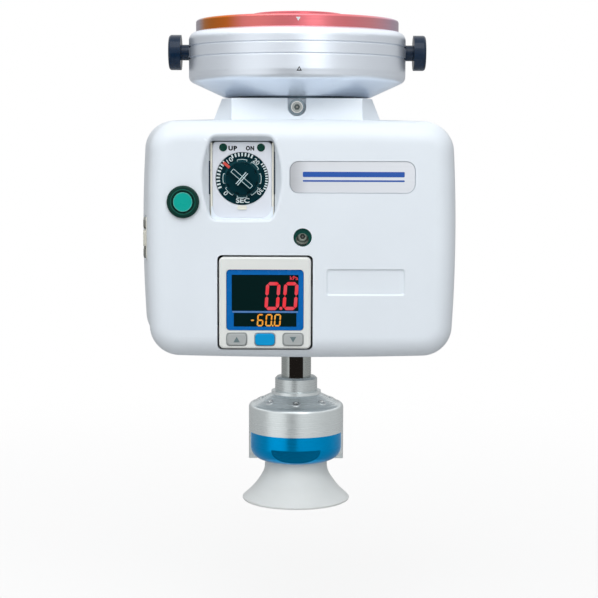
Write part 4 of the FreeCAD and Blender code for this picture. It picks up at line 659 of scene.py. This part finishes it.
# %% Letters
def lettering(words, width, height, weight=0.0, spacing=1.0):
    """Words in a box about (0, 0), 1 thick: (x, y, z) of the flat text becomes (x, -z, y), scaled to the box."""
    curve = bpy.data.curves.new("letters", "FONT")
    curve.body, curve.extrude, curve.resolution_u = words, 0.5, 3
    curve.offset, curve.space_character = weight, spacing
    holder = bpy.data.objects.new("letters", curve)
    flat = bpy.data.meshes.new_from_object(holder)
    welded = bmesh.new()
    welded.from_mesh(flat)
    bmesh.ops.remove_doubles(welded, verts=welded.verts, dist=1e-4)
    bmesh.ops.recalc_face_normals(welded, faces=welded.faces)
    welded.to_mesh(flat)
    welded.free()
    places = np.empty(len(flat.vertices) * 3)
    flat.vertices.foreach_get("co", places)
    places = places.reshape(-1, 3)
    faces = [list(face.vertices) for face in flat.polygons]
    bpy.data.objects.remove(holder)
    bpy.data.curves.remove(curve)
    bpy.data.meshes.remove(flat)
    low, high = places.min(axis=0), places.max(axis=0)
    centred = (places - (low + high) / 2) / (high - low) * (width, height, 1.0)
    return np.column_stack((centred[:, 0], -centred[:, 2], centred[:, 1])), faces


def printed(words, width, height, place, depth, thickness=0.05, turn=0.0, weight=0.0, spacing=1.0):
    """Words as a print half sunk in its carrier: thinned to a film, turned in the plane of the front, put in place."""
    points, faces = lettering(words, width, height, weight, spacing)
    cosine, sine = math.cos(turn), math.sin(turn)
    sideways = points[:, 0] * cosine - points[:, 2] * sine
    upwards = points[:, 0] * sine + points[:, 2] * cosine
    film = np.column_stack((sideways, points[:, 1] * thickness, upwards))
    return film + (place[0], depth, place[1]), faces


# %% [markdown]
# ## Print and lamp finishes
# Ink is a thin film with a slight unevenness where the screen laid it down. A lit bar of the display gives light of
# its own; its colour wanders a little along the bar, because a single chip lights the whole of it from one spot.

# %% Print and lamp finishes
for name, screen_colour, roughness in (
    ("white_ink", (224, 236, 238), 0.5),
    ("black_ink", (12, 20, 26), 0.7),
    ("blue_ink", (16, 84, 176), 0.4),
    ("key_ink", (104, 124, 128), 0.5),
    ("socket_dark", (84, 96, 94), 0.6),
):
    colour = srgb(*screen_colour)
    ink = finish(name, colour, roughness)
    mottle(ink, grain(ink, 3.0), colour, shade(colour, 0.86))
    print(name, "in patches of a third of a millimetre")
for name, colour, glow, level in (
    ("red_bars", srgb(236, 36, 50), srgb(222, 66, 80), 0.94),
    ("amber_bars", srgb(244, 150, 26), srgb(232, 166, 60), 1.0),
):
    lit = finish(name, shade(colour, 0.05), 0.3, 0.0, {"Emission Strength": level})
    feed(lit, "Emission Color", grain(lit, 0.35, detail=1.0).ramp(0.35, 0.65).tint(colour, glow))
    print(name, "at a level of", level)

# %% [markdown]
# ## Match marks
# A white triangle on the red plate and an outlined one on the changer show how the two halves go together.
# They sit on round faces, but are so narrow that a flat plate leaves the round by less than a hundredth of a
# millimetre, so plain three-cornered plates are enough.

# %% Match marks
film = 0.04


def foil(outlines, surface):
    """Plates as thin as a print: one film in front of a surface's depth and one behind it."""
    return slabs(outlines, surface - film, surface + film)


triangle_down = np.array([(-0.5, 0.5), (0.0, -0.5), (0.5, 0.5)])
triangle_up = np.array([(-0.5, -0.5), (0.5, -0.5), (0.0, 0.5)])
plate_front, changer_front = box_of("robot_plate")[0, 1], box_of("changer_body")[0, 1]
plate_mark = triangle_down * (1.5, 1.25) + (0.36, -1.9)
mark_frame = triangle_up * (1.75, 1.5) + (0.71, -17.9)
mark_heart = triangle_up * (0.75, 0.7) + (0.71, -17.98)
heart_plate = slabs([mark_heart], changer_front - 2 * film, changer_front + film)
piece("plate_mark", foil([plate_mark], plate_front), "white_ink")
piece("changer_mark", foil([mark_frame], changer_front), "black_ink")
piece("changer_mark_heart", heart_plate, "changer_metal")

# %% [markdown]
# ## Timer face
# The timer's front carries two words in black, and below the dial a cream tab that unlatches the dial ring. Beside the
# face run two ivory strips, the edges of the plug-in case, and outside these the dark hooks of the spring clips.
# The words are printed letters; the rest are plates with rounded corners or plain bars.


# %% Plates and bars
def rounded_outline(width, height, radius, steps=5):
    """Rectangle about (0, 0): a quarter circle of the given radius at each corner, from the upper right one round."""
    quarters = np.repeat(np.arange(4), steps + 1)
    angles = (quarters + np.tile(np.linspace(0, 1, steps + 1), 4)) * np.pi / 2
    sideways = np.array([1, -1, -1, 1])[quarters] * (width / 2 - radius)
    upwards = np.array([1, 1, -1, -1])[quarters] * (height / 2 - radius)
    return np.column_stack((sideways + radius * np.cos(angles), upwards + radius * np.sin(angles)))


def bars(starts, ends, width):
    """Rectangles along straight lines: each end point moved half the width to either side of its line."""
    starts, ends = np.asarray(starts, float), np.asarray(ends, float)
    along = (ends - starts) / np.linalg.norm(ends - starts, axis=1, keepdims=True)
    side = np.column_stack((-along[:, 1], along[:, 0])) * width / 2
    return np.stack((starts - side, ends - side, ends + side, starts + side), axis=1)


# %% Timer face
timer_centre, timer_front = front_of("timer_case")
word_height, word_weight = 1.55, 0.065
timer_words = []
for words, width, aside, above, spacing in (("UP", 2.9, -3.04, 10.34, 1.2), ("ON", 2.75, 2.57, 10.36, 1.14)):
    place = timer_centre + (aside, above)
    word = printed(words, width, word_height, place, timer_front, weight=word_weight, spacing=spacing)
    timer_words.append(word)
piece("timer_words", joined(*timer_words), "black_ink")
tab_drop, strip_reach = 8.95, 10.03
tab = rounded_outline(3.0, 1.3, 0.2) + timer_centre + (0.0, -tab_drop)
piece("timer_tab", slabs([tab], timer_front - 0.4, timer_front + 0.1), "tab_cream")
strip = rounded_outline(0.63, 24.4, 0.25) + timer_centre
strips = [strip + (aside, 0.0) for aside in (-strip_reach, strip_reach)]
piece("timer_strips", slabs(strips, timer_front + 0.05, timer_front + 0.6), "tab_cream")
hook_sides = timer_centre[0] + np.array((-10.64, 10.52))
hook_feet, hook_tops, hook_width = (-58.6, -58.6), (-47.8, -44.8), 0.34
hooks = bars(np.column_stack((hook_sides, hook_feet)), np.column_stack((hook_sides, hook_tops)), hook_width)
piece("timer_hooks", slabs(hooks, timer_front - 0.25, timer_front + 2.5), "button_black")

# %% [markdown]
# ## Timer sill
# The mouth of the scoop closes in on the timer's two lower corners, and a pale sill bridges the gap below it. The sill
# is a plate with a U-shaped outline: straight outside, and rounded at the corners inside.

# %% Timer sill
sill_half, sill_inner, bend_radius = 10.1, 9.62, 3.4
sill_top, sill_floor, sill_foot = -8.6, -12.3, -12.9
bend = np.linspace(0, np.pi / 2, 9)
bend_centre = (sill_inner - bend_radius, sill_floor + bend_radius)
right_bend = np.column_stack((np.cos(bend), -np.sin(bend))) * bend_radius + bend_centre
left_bend = right_bend[::-1] * (-1, 1)
outside = np.array([(-1, sill_top), (-1, sill_foot), (1, sill_foot), (1, sill_top)]) * (sill_half, 1)
inside = np.concatenate(([(sill_inner, sill_top)], right_bend, left_bend, [(-sill_inner, sill_top)]))
sill = np.concatenate((outside, inside)) + timer_centre
piece("timer_sill", slabs([sill], timer_front - 0.06, timer_front + 0.5), "cover_white")

# %% [markdown]
# ## Dial print
# The scale runs clockwise from nought at the lower left. A stroke is a rectangle along a radius; the strokes leave
# room for the numerals and get shorter on the right. The numerals stand with their feet to the centre.


# %% Dial print
def strokes(degrees, inner, outer, width):
    """Radial bars: from the inner to the outer radius at each angle, measured from the right, upwards."""
    angle = np.radians(degrees)
    ray = np.column_stack((np.cos(angle), np.sin(angle)))
    return bars(inner * ray, outer * ray, width)


dial_centre, dial_front = front_of("timer_dial")
upper_angles, left_angles, right_angles = np.arange(66, 115, 8), np.arange(138, 203, 8), np.arange(-24, 42, 6)
coarse = strokes(np.concatenate((upper_angles, left_angles)), 7.25, 8.45, 0.5)
short = strokes(right_angles, 7.6, 8.5, 0.42)
scale = foil(np.concatenate((coarse, short)) + dial_centre, dial_front)
numeral_radius, numeral_height = 7.2, 1.5
numerals = []
for words, degrees, width in (("0", 222, 1.1), ("10", 124, 2.0), ("20", 50, 2.1), ("30", -36, 2.1)):
    angle = math.radians(degrees)
    place = dial_centre + numeral_radius * np.array((math.cos(angle), math.sin(angle)))
    numerals.append(printed(words, width, numeral_height, place, dial_front, 2 * film, angle - math.pi / 2, 0.01))
unit_word = printed("SEC", 4.4, 1.6, dial_centre + (0.19, -7.15), dial_front, 2 * film, weight=0.025)
piece("dial_print", joined(scale, *numerals, unit_word), "white_ink")

# %% [markdown]
# ## Knob skirt
# Under the knob's cap lies a clear-edged skirt with eight flats, whose ends catch the light as pale brackets.
# The skirt's edge is a circle with a shallow eight-fold wave. The brackets are arcs with a short leg at each end;
# the eighth is missing, because the red pointer lies there.


# %% Knob skirt
def round_outline(radius, steps=48):
    """Circle or, with few steps, a regular polygon about (0, 0)."""
    angle = np.arange(steps) * 2 * np.pi / steps
    return radius * np.column_stack((np.cos(angle), np.sin(angle)))


def arc_outlines(degrees, half_span, inner, outer, steps=8):
    """Ring pieces: the outer arc one way and the inner arc back, about each middle angle."""
    sweep = np.radians(np.linspace(-half_span, half_span, steps))
    middle = np.radians(np.asarray(degrees, float))[:, None]
    angle = np.concatenate((middle + sweep, middle + sweep[::-1]), axis=1)
    reach = np.repeat((outer, inner), steps)
    return np.stack((reach * np.cos(angle), reach * np.sin(angle)), axis=-1)


knob_centre, knob_front = front_of("timer_knob")
knob_rear = knob_front + 2.5
skirt_radius, skirt_wave, flats, skirt_steps = 6.1, 0.15, 8, 96
swell = np.cos(flats * np.arange(skirt_steps) * 2 * np.pi / skirt_steps)
skirt = round_outline(1.0, skirt_steps) * (skirt_radius + skirt_wave * swell)[:, None] + knob_centre
skirt_plate = slabs([skirt], knob_rear - 0.25, knob_rear - 0.02)
piece("knob_skirt", skirt_plate, "dial_gloss", "timer_knob")
bracket_angles, half_span = np.array([0, 45, 90, 180, 225, 270, 315]), 15.0
arcs = arc_outlines(bracket_angles, half_span, 6.15, 6.35)
leg_angles = np.concatenate((bracket_angles - half_span, bracket_angles + half_span))
legs = strokes(leg_angles, 5.75, 6.3, 0.16)
brackets = [slabs(outlines + knob_centre, knob_rear - 0.29, knob_rear - 0.2) for outlines in (arcs, legs)]
piece("knob_brackets", joined(*brackets), "pale_edge", "timer_knob")

# %% [markdown]
# ## Knob bar
# The knob is turned by a bar across its cap. Painted highlights along its edges show as a long pale frame, four thin
# bars between the corners of a slim rectangle, and a rib of two short bars crosses it at the middle. All turn with
# the knob.

# %% Knob bar
bar_angle, bar_reach, bar_half = math.radians(139), 4.1, 0.64
rib_offset, rib_reach, rib_back = 0.33, 2.5, knob_front + 1.3
along = np.array((math.cos(bar_angle), math.sin(bar_angle)))
across = np.array((-along[1], along[0]))
first_corner, next_corner = bar_reach * along + bar_half * across, bar_reach * along - bar_half * across
corners = knob_centre + np.array((first_corner, next_corner, -first_corner, -next_corner))
# Painted highlights: pale bars along the edges of the knob's bar.
bar_edge_highlights = foil(bars(corners, np.roll(corners, -1, axis=0), 0.17), knob_front)
piece("knob_bar_highlights", bar_edge_highlights, "pale_edge", "timer_knob")
rib_middles = knob_centre + np.array((rib_offset, -rib_offset))[:, None] * along
rib_bars = bars(rib_middles - rib_reach * across, rib_middles + rib_reach * across, 0.3)
piece("knob_cross_rib", slabs(rib_bars, knob_front - 0.05, rib_back), "pale_edge", "timer_knob")

# %% [markdown]
# ## Display panels
# Two dark glass panels lie in the blue window, with a paler bar between them. Each is a foil with rounded corners, half
# sunk in the window's front, so that the digits can lie on it in their turn.

# %% Display panels
sensor_centre, bezel_front = front_of("sensor_bezel")
window_front = box_of("sensor_window")[0, 1]
upper_panel = rounded_outline(21.8, 11.8, 0.25) + sensor_centre + (0.04, 3.31)
lower_panel = rounded_outline(20.5, 4.47, 0.2) + sensor_centre + (0.04, -5.53)
divider = rounded_outline(21.4, 0.5, 0.2) + sensor_centre + (0.04, -2.93)
piece("display_panels", foil([upper_panel, lower_panel], window_front), "panel_dark")
piece("display_divider", foil([divider], window_front), "divider_blue")

# %% [markdown]
# ## Display digits
# The digits are the usual seven bars, lettered a to f clockwise from the top, and g across the middle. Each bar is a
# long hexagon between two corners of a two-storey frame, shortened a little at both ends to leave the dark gaps, and
# the whole digit leans to the right. The upper row is red and has a unit, the lower one is amber.


# %% Display digits
def seven_bars(lit_bars, centre, width, height, stroke, lean=0.07):
    """Hexagons, one per lit bar, between corners (column, row) of the digit's frame; x grows by lean times z."""
    frame_corners = np.array([(-1, 1), (1, 1), (-1, 0), (1, 0), (-1, -1), (1, -1)], float)
    frame_corners *= ((width - stroke) / 2, (height - stroke) / 2)
    ends = {"a": (0, 1), "b": (3, 1), "c": (5, 3), "d": (4, 5), "e": (4, 2), "f": (2, 0), "g": (2, 3)}
    first, last = frame_corners[np.array([ends[bar] for bar in lit_bars])].transpose(1, 0, 2)
    along = (last - first) / np.linalg.norm(last - first, axis=1, keepdims=True)
    side = np.column_stack((-along[:, 1], along[:, 0])) * stroke / 2
    gap, shoulder = 0.1 * stroke * along, 0.6 * stroke * along
    tips = (first + gap, first + shoulder - side, last - shoulder - side)
    tips += (last - gap, last - shoulder + side, first + shoulder + side)
    outline = np.stack(tips, axis=1)
    outline[..., 0] += lean * outline[..., 1]
    return outline + centre


def display_row(digits, height, point_size, point_corner, point_place):
    """Lit plates of one row: every digit's bars and the rounded point, a film in front of the window."""
    digit_bars = [
        seven_bars(lit_bars, sensor_centre + place, width, height, stroke) for lit_bars, place, width, stroke in digits
    ]
    point = rounded_outline(point_size, point_size, point_corner) + sensor_centre + point_place
    front, back = window_front - 2 * film, window_front - 0.5 * film
    return joined(slabs(np.concatenate(digit_bars), front, back), slabs([point], front, back))


nought, six, minus = "abcdef", "acdefg", "g"
red_digits = ((nought, (2.46, 2.27), 4.75, 1.08), (nought, (8.31, 2.29), 4.75, 1.08))
amber_digits = (
    (minus, (-4.08, -5.7), 1.7, 0.5),
    (six, (-1.53, -5.66), 2.1, 0.48),
    (nought, (1.28, -5.65), 2.2, 0.48),
    (nought, (4.09, -5.64), 2.2, 0.48),
)
red_row = display_row(red_digits, 9.2, 1.0, 0.45, (5.2, -1.75))
amber_row = display_row(amber_digits, 4.08, 0.55, 0.2, (2.54, -7.43))
unit = printed("kPa", 2.6, 1.3, sensor_centre + (9.45, 8.21), window_front - film, 2 * film, weight=0.01)
piece("display_red", joined(red_row, unit), "red_bars")
piece("display_amber", amber_row, "amber_bars")

# %% [markdown]
# ## Key wells
# Light gets into the narrow gap round each key, so it shows as a grey line, not a black one. A thin grey ring a
# little below the bezel's face paints that light into the gap, and leaves each key room to move.


# %% Key wells
def ring_slab(outer, inner, front, back, sunk=0.0):
    """Plate with a hole: two outlines of one corner count in a closed ring of four loops; the hole's edge lies sunk."""
    loops = np.stack((outer, outer, inner, inner))
    depth = np.broadcast_to(np.array([front, back, back, front + sunk])[:, None], loops.shape[:2])
    points = np.stack((loops[..., 0], depth, loops[..., 1]), axis=-1)
    return points.reshape(-1, 3), grid_faces(*depth.shape).tolist()


# Painted light: grey rings stand for the light that gets into the gaps round the keys.
well_rim, well_hole = rounded_outline(7.1, 4.6, 1.5), rounded_outline(6.5, 4.0, 1.25)
well_front, well_back = bezel_front + 0.12, bezel_front + 0.5
gap_light_rings = []
for key in ("up", "mode", "down"):
    key_centre, _ = front_of("sensor_key_" + key)
    gap_light_rings.append(ring_slab(well_rim + key_centre, well_hole + key_centre, well_front, well_back))
piece("key_gap_light", joined(*gap_light_rings), "well_grey")

# %% [markdown]
# ## Key marks
# The two grey keys carry an upward and a downward triangle. Each mark rides on its own key, so that it goes in with
# the key when that is pressed.

# %% Key marks
for key, outline in (("up", triangle_up), ("down", triangle_down)):
    key_centre, key_front = front_of("sensor_key_" + key)
    key_mark = foil([outline * (2.15, 1.85) + key_centre], key_front)
    piece("key_mark_" + key, key_mark, "key_ink", "key_" + key)

# %% [markdown]
# ## Start button rings
# The button's dark bezel has a fine raised ring on its flat, in a lighter green that is partly a painted highlight,
# and the green cap a pale rim that is a painted highlight. Both are thin rings with an oval section, half sunk in
# what carries them; the pale one goes in with the cap.


# %% Start button rings
def revolve(profile, steps=96, closed=True):
    """Profile (r, z), closed or open, carried once round the Z axis: x = r cos(turn), y = r sin(turn)."""
    profile = np.asarray(profile, float)
    turn = np.arange(steps)[:, None] * 2 * np.pi / steps
    height = np.broadcast_to(profile[:, 1], (steps, len(profile)))
    points = np.stack((profile[:, 0] * np.cos(turn), profile[:, 0] * np.sin(turn), height), axis=-1)
    return points.reshape(-1, 3), grid_faces(*height.shape, close_columns=closed).tolist()


def front_ring(radius, half_width, proud, centre, depth, sides=16):
    """Oval section carried round the Y axis: r = radius + half_width cos a, y = depth + proud sin a."""
    section = round_outline(1.0, sides) * (half_width, proud) + (radius, 0.0)
    points, faces = revolve(section)
    return points[:, [1, 2, 0]] + (centre[0], depth, centre[1]), faces


cap_centre, cap_front = front_of("start_button_cap")
# Raised ring on the bezel; its lighter green is partly a painted highlight.
bezel_ring = front_ring(3.98, 0.16, 0.14, cap_centre, box_of("start_button_body")[0, 1])
piece("start_bezel_ring", bezel_ring, "bezel_edge")
# Painted highlight: the pale rim of the cap.
cap_ring = front_ring(3.0, 0.11, 0.1, cap_centre, cap_front + 0.04)
piece("start_cap_ring", cap_ring, "cap_edge", "start_button")

# %% [markdown]
# ## Name plate
# The foil plate carries a broad and a fine blue rule, a plain trim that any maker could use.

# %% Name plate
plate_centre, plate_face = front_of("name_plate")
broad_rule = rounded_outline(33.0, 1.7, 0.3) + plate_centre + (0.4, 0.9)
fine_rule = rounded_outline(33.0, 0.55, 0.2) + plate_centre + (0.4, -1.2)
piece("name_plate_rules", foil([broad_rule, fine_rule], plate_face), "blue_ink")

# %% [markdown]
# ## Label recess
# The shallow recess at the lower right is a plain field in the cover. A moulded recess has sloping walls, or the part
# would not leave its mould, so a ring with a slanted front lines the recess from the face down to its floor.

# %% Label recess
label_centre, face_front = np.array((22.6, -87.05)), -40.0
label_width, label_height, label_corner = 25.6, 8.8, 0.9
label_depth, label_draft, overlap = 0.6, 0.5, 0.03
edge, floor_edge = (
    rounded_outline(label_width + 2 * wider, label_height + 2 * wider, label_corner) + label_centre
    for wider in (overlap, -label_draft)
)
lining = ring_slab(edge, floor_edge, face_front + 0.02, face_front + label_depth + overlap, label_depth - overlap)
piece("label_recess_lining", lining, "cover_white")

# %% [markdown]
# ## Cover screws
# The screws that hold the covers have six-sided sockets, which look dark because little light comes back out of them:
# a small dark six-sided plate lies on each socket's floor, and a bright spot on it where the lamp reaches the floor.
# The screw in the face sits on a grey washer, deep in a dark green ring whose bore lies low, so that its thick
# upper part is the painted shadow of the well's rim; the one at the neck has a rim painted bright, a painted
# highlight, and a washer of bluish zinc.


# %% Cover screws
def screw_head(radius, height, socket, foot=0.6, steps=20):
    """Head about Z: wall, rounded shoulder, flat and socket as a profile; a disc closes the foot and the socket."""
    wall = [(1.0, -foot), (1.0, 0.45), (0.93, 0.8), (0.75, 1.0), (socket, 1.0), (socket, 0.2)]
    points, faces = revolve(np.array(wall) * (radius, height), steps, closed=False)
    rows = np.arange(len(points)).reshape(steps, -1)
    return points, faces + [rows[::-1, 0].tolist(), rows[:, -1].tolist()]


def washer(centre, outer, inner, front, back):
    """Flat ring about a centre (x, z): two circles at two depths."""
    return ring_slab(round_outline(outer) + centre, round_outline(inner) + centre, front, back)


face_screw, neck_screw = np.array((2.0, -72.45)), np.array((0.0, -29.95))
neck_depth, back_depth, socket = 21.7, 33.4, round_outline(0.98, 6)
socket_floors = [
    slabs([socket + neck_screw], -neck_depth - 0.5, -neck_depth + 0.05),
    slabs([socket + neck_screw], neck_depth - 0.05, neck_depth + 0.5),
    slabs([socket + face_screw], back_depth - 0.05, back_depth + 0.5),
]
piece("screw_sockets", joined(*socket_floors), "socket_dark")
# Painted shadow: a dark green ring, thickest at the top, stands for the rim's shadow in the face screw's well.
shadow_front, shadow_back, bore_offset = -38.9, -35.2, (-0.1, -0.8)
shadow_bore = round_outline(2.1) + face_screw + bore_offset
shadow_ring = ring_slab(round_outline(2.97) + face_screw, shadow_bore, shadow_front, shadow_back)
piece("screw_well_shadow", shadow_ring, "well_green")
head_seat, head_height = -34.45, 0.5
points, faces = screw_head(1.95, head_height, 0.5, 4.0)
facing = points[:, [0, 2, 1]] * (1, -1, 1) + (face_screw[0], head_seat, face_screw[1])
piece("face_screw_head", (facing, faces), "screw_metal")
socket_floor = head_seat - 0.2 * head_height
face_socket = slabs([round_outline(0.94, 6) + face_screw], socket_floor - 0.1, socket_floor + 0.05)
piece("face_screw_socket", face_socket, "socket_dark")
face_glint = slabs([round_outline(0.3, 12) + face_screw], socket_floor - 0.15, socket_floor - 0.05)
neck_glint = slabs([round_outline(0.45, 6) + neck_screw], -neck_depth - 0.56, -neck_depth - 0.4)
piece("screw_glints", joined(face_glint, neck_glint), "post_metal")
# Painted highlight: a bright ring on the neck screw's head.
rim_front = -neck_depth - 1.1
piece("neck_screw_rim_highlight", washer(neck_screw, 1.97, 1.7, rim_front - film, rim_front + film), "pale_steel")
piece("neck_washer", washer(neck_screw, 2.75, 2.05, -21.3, -20.85), "zinc_blue")
piece("face_washer", washer(face_screw, 2.7, 2.03, -32.2, -30.55), "screw_metal")

# %% [markdown]
# ## Holder screws
# Eight small socket screws sit in the cone of the pad holder. They are the same head of revolution at another size: one
# is made about Z, tipped to stand square on the cone, and then turned to its eight places.

# %% Holder screws
screw_count, cone_radius, cone_height, cone_lean = 8, 12.8, -131.95, math.radians(26.0)
points, faces = screw_head(1.45, 0.25, 0.48)
tipped = points @ np.array(Matrix.Rotation(cone_lean, 3, "Y")).T + (cone_radius, 0.0, cone_height)
turns = [np.array(Matrix.Rotation(2 * math.pi * number / screw_count, 3, "Z")) for number in range(screw_count)]
piece("holder_screws", joined(*[(tipped @ turn.T, faces) for turn in turns]), "pale_steel")

# %% [markdown]
# ## Springs
# Inside, two springs push the release slides apart and two more hold the pump's armature between them. A spring is
# wire wound on a helix, and it has to give way when its joint moves: one end stays on its seat and the other goes with
# the moving piece. Here each spring is made as wire that rides on no body; the two bodies listed with it are not used.
# The slide springs lie between two moving slides and are made in two halves, which meet in the middle, where the
# spring stands still.


# %% Springs
def coil(radius, thick, first_turn, last_turn, low, high, steps=24, sides=10):
    """Wire about Z: x, y = (radius + thick cos a) at angle t, z = an even rise + thick sin a; discs close its ends."""
    turn = np.linspace(first_turn, last_turn, int(steps * (last_turn - first_turn)) + 1)[:, None] * 2 * np.pi
    section = thick * round_outline(1.0, sides)
    reach = radius + section[:, 0]
    rise = np.linspace(low, high, len(turn))[:, None] + section[:, 1]
    points = np.stack((reach * np.cos(turn), reach * np.sin(turn), rise), axis=-1).reshape(-1, 3)
    rows = np.arange(len(points)).reshape(-1, sides)
    return points, [rows[0].tolist(), rows[-1, ::-1].tolist()] + grid_faces(*rows.shape, close_rows=False).tolist()


spring_turns, pump_wire, slide_wire = 3, 0.5, 0.3
for name, lower_body, upper_body in (
    ("pump_spring_lower", "gripper", "pump_piston"),
    ("pump_spring_upper", "pump_piston", "gripper"),
):
    low, high = box_of(name)
    middle = (low + high)[:2] / 2
    radius = (high[0] - low[0]) / 2 - pump_wire
    points, faces = coil(radius, pump_wire, 0, spring_turns, low[2] + pump_wire, high[2] - pump_wire)
    spring = piece(name + "_wire", (points + (*middle, 0.0), faces), "bright_steel", None)
    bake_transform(spring)
    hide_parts(name)
low, high = box_of("slide_springs")
reach, half_turns, seat = (high[2] - low[2]) / 2, spring_turns / 2, high[0] - slide_wire
for name, first, last, ends, bodies in (
    ("left", -half_turns, 0.0, (-seat, 0.0), ("release_left", "gripper")),
    ("right", 0.0, half_turns, (0.0, seat), ("gripper", "release_right")),
):
    points, faces = coil(reach - slide_wire, slide_wire, first, last, *ends)
    along_x = points[:, [2, 0, 1]] + (0.0, 0.0, low[2] + reach)
    halves = [(along_x + (0.0, side * (high[1] - reach), 0.0), faces) for side in (-1, 1)]
    spring = piece("slide_spring_wires_" + name, joined(*halves), "bright_steel", None)
    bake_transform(spring)
    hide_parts("slide_springs")

# %% [markdown]
# ## Silicone cup
# The cup is the one soft piece: a bell of milky silicone with a thin lip. Its outer line is a smooth curve through a
# few radii; the inner line lies one wall's thickness inside it, and the lip between them is rounded. Carried round the
# axis, this line gives the whole cup, which stands for the plain solid that the model keeps for contact.


# %% Silicone cup
def smooth_line(knots, steps):
    """Cubic between each two knots; its slope at a knot is half the chord between that knot's neighbours."""
    knots = np.asarray(knots, float)
    padded = np.concatenate((2 * knots[:1] - knots[1:2], knots, 2 * knots[-1:] - knots[-2:-1]))
    slope = (padded[2:] - padded[:-2]) / 2
    share = (np.arange(steps) / steps)[None, :, None]
    first, last = knots[:-1, None], knots[1:, None]
    lead, trail = slope[:-1, None], slope[1:, None]
    curve = first * (2 * share**3 - 3 * share**2 + 1) + last * (3 * share**2 - 2 * share**3)
    curve = curve + lead * (share**3 - 2 * share**2 + share) + trail * (share**3 - share**2)
    return np.concatenate((curve.reshape(-1, 2), knots[-1:]))


wall, inner_top = 1.1, -156.0
outer_line = smooth_line([(18.95, -167.2), (16.35, -164.8), (14.0, -162.1), (11.45, -157.9), (10.9, -153.5)], 10)
direction = np.gradient(outer_line, axis=0)
direction /= np.linalg.norm(direction, axis=1, keepdims=True)
inner_line = (outer_line + wall * direction[:, ::-1] * (-1, 1))[::-1]
inner_line = inner_line[inner_line[:, 1] < inner_top]
neck = [(10.9, -148.7), (10.5, -148.3), (7.0, -148.3), (7.0, -151.7)]
neck += [(3.0, -151.7), (3.0, -155.1), (8.8, -155.1), (9.8, -155.5)]
lip = [(18.5, -168.0), (18.78, -167.85), (18.93, -167.55)]
cup_line = np.concatenate((outer_line, neck, inner_line, lip))
cup = piece("silicone_cup", revolve(cup_line), "milky_silicone", sharp=50)
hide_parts("suction_cup")
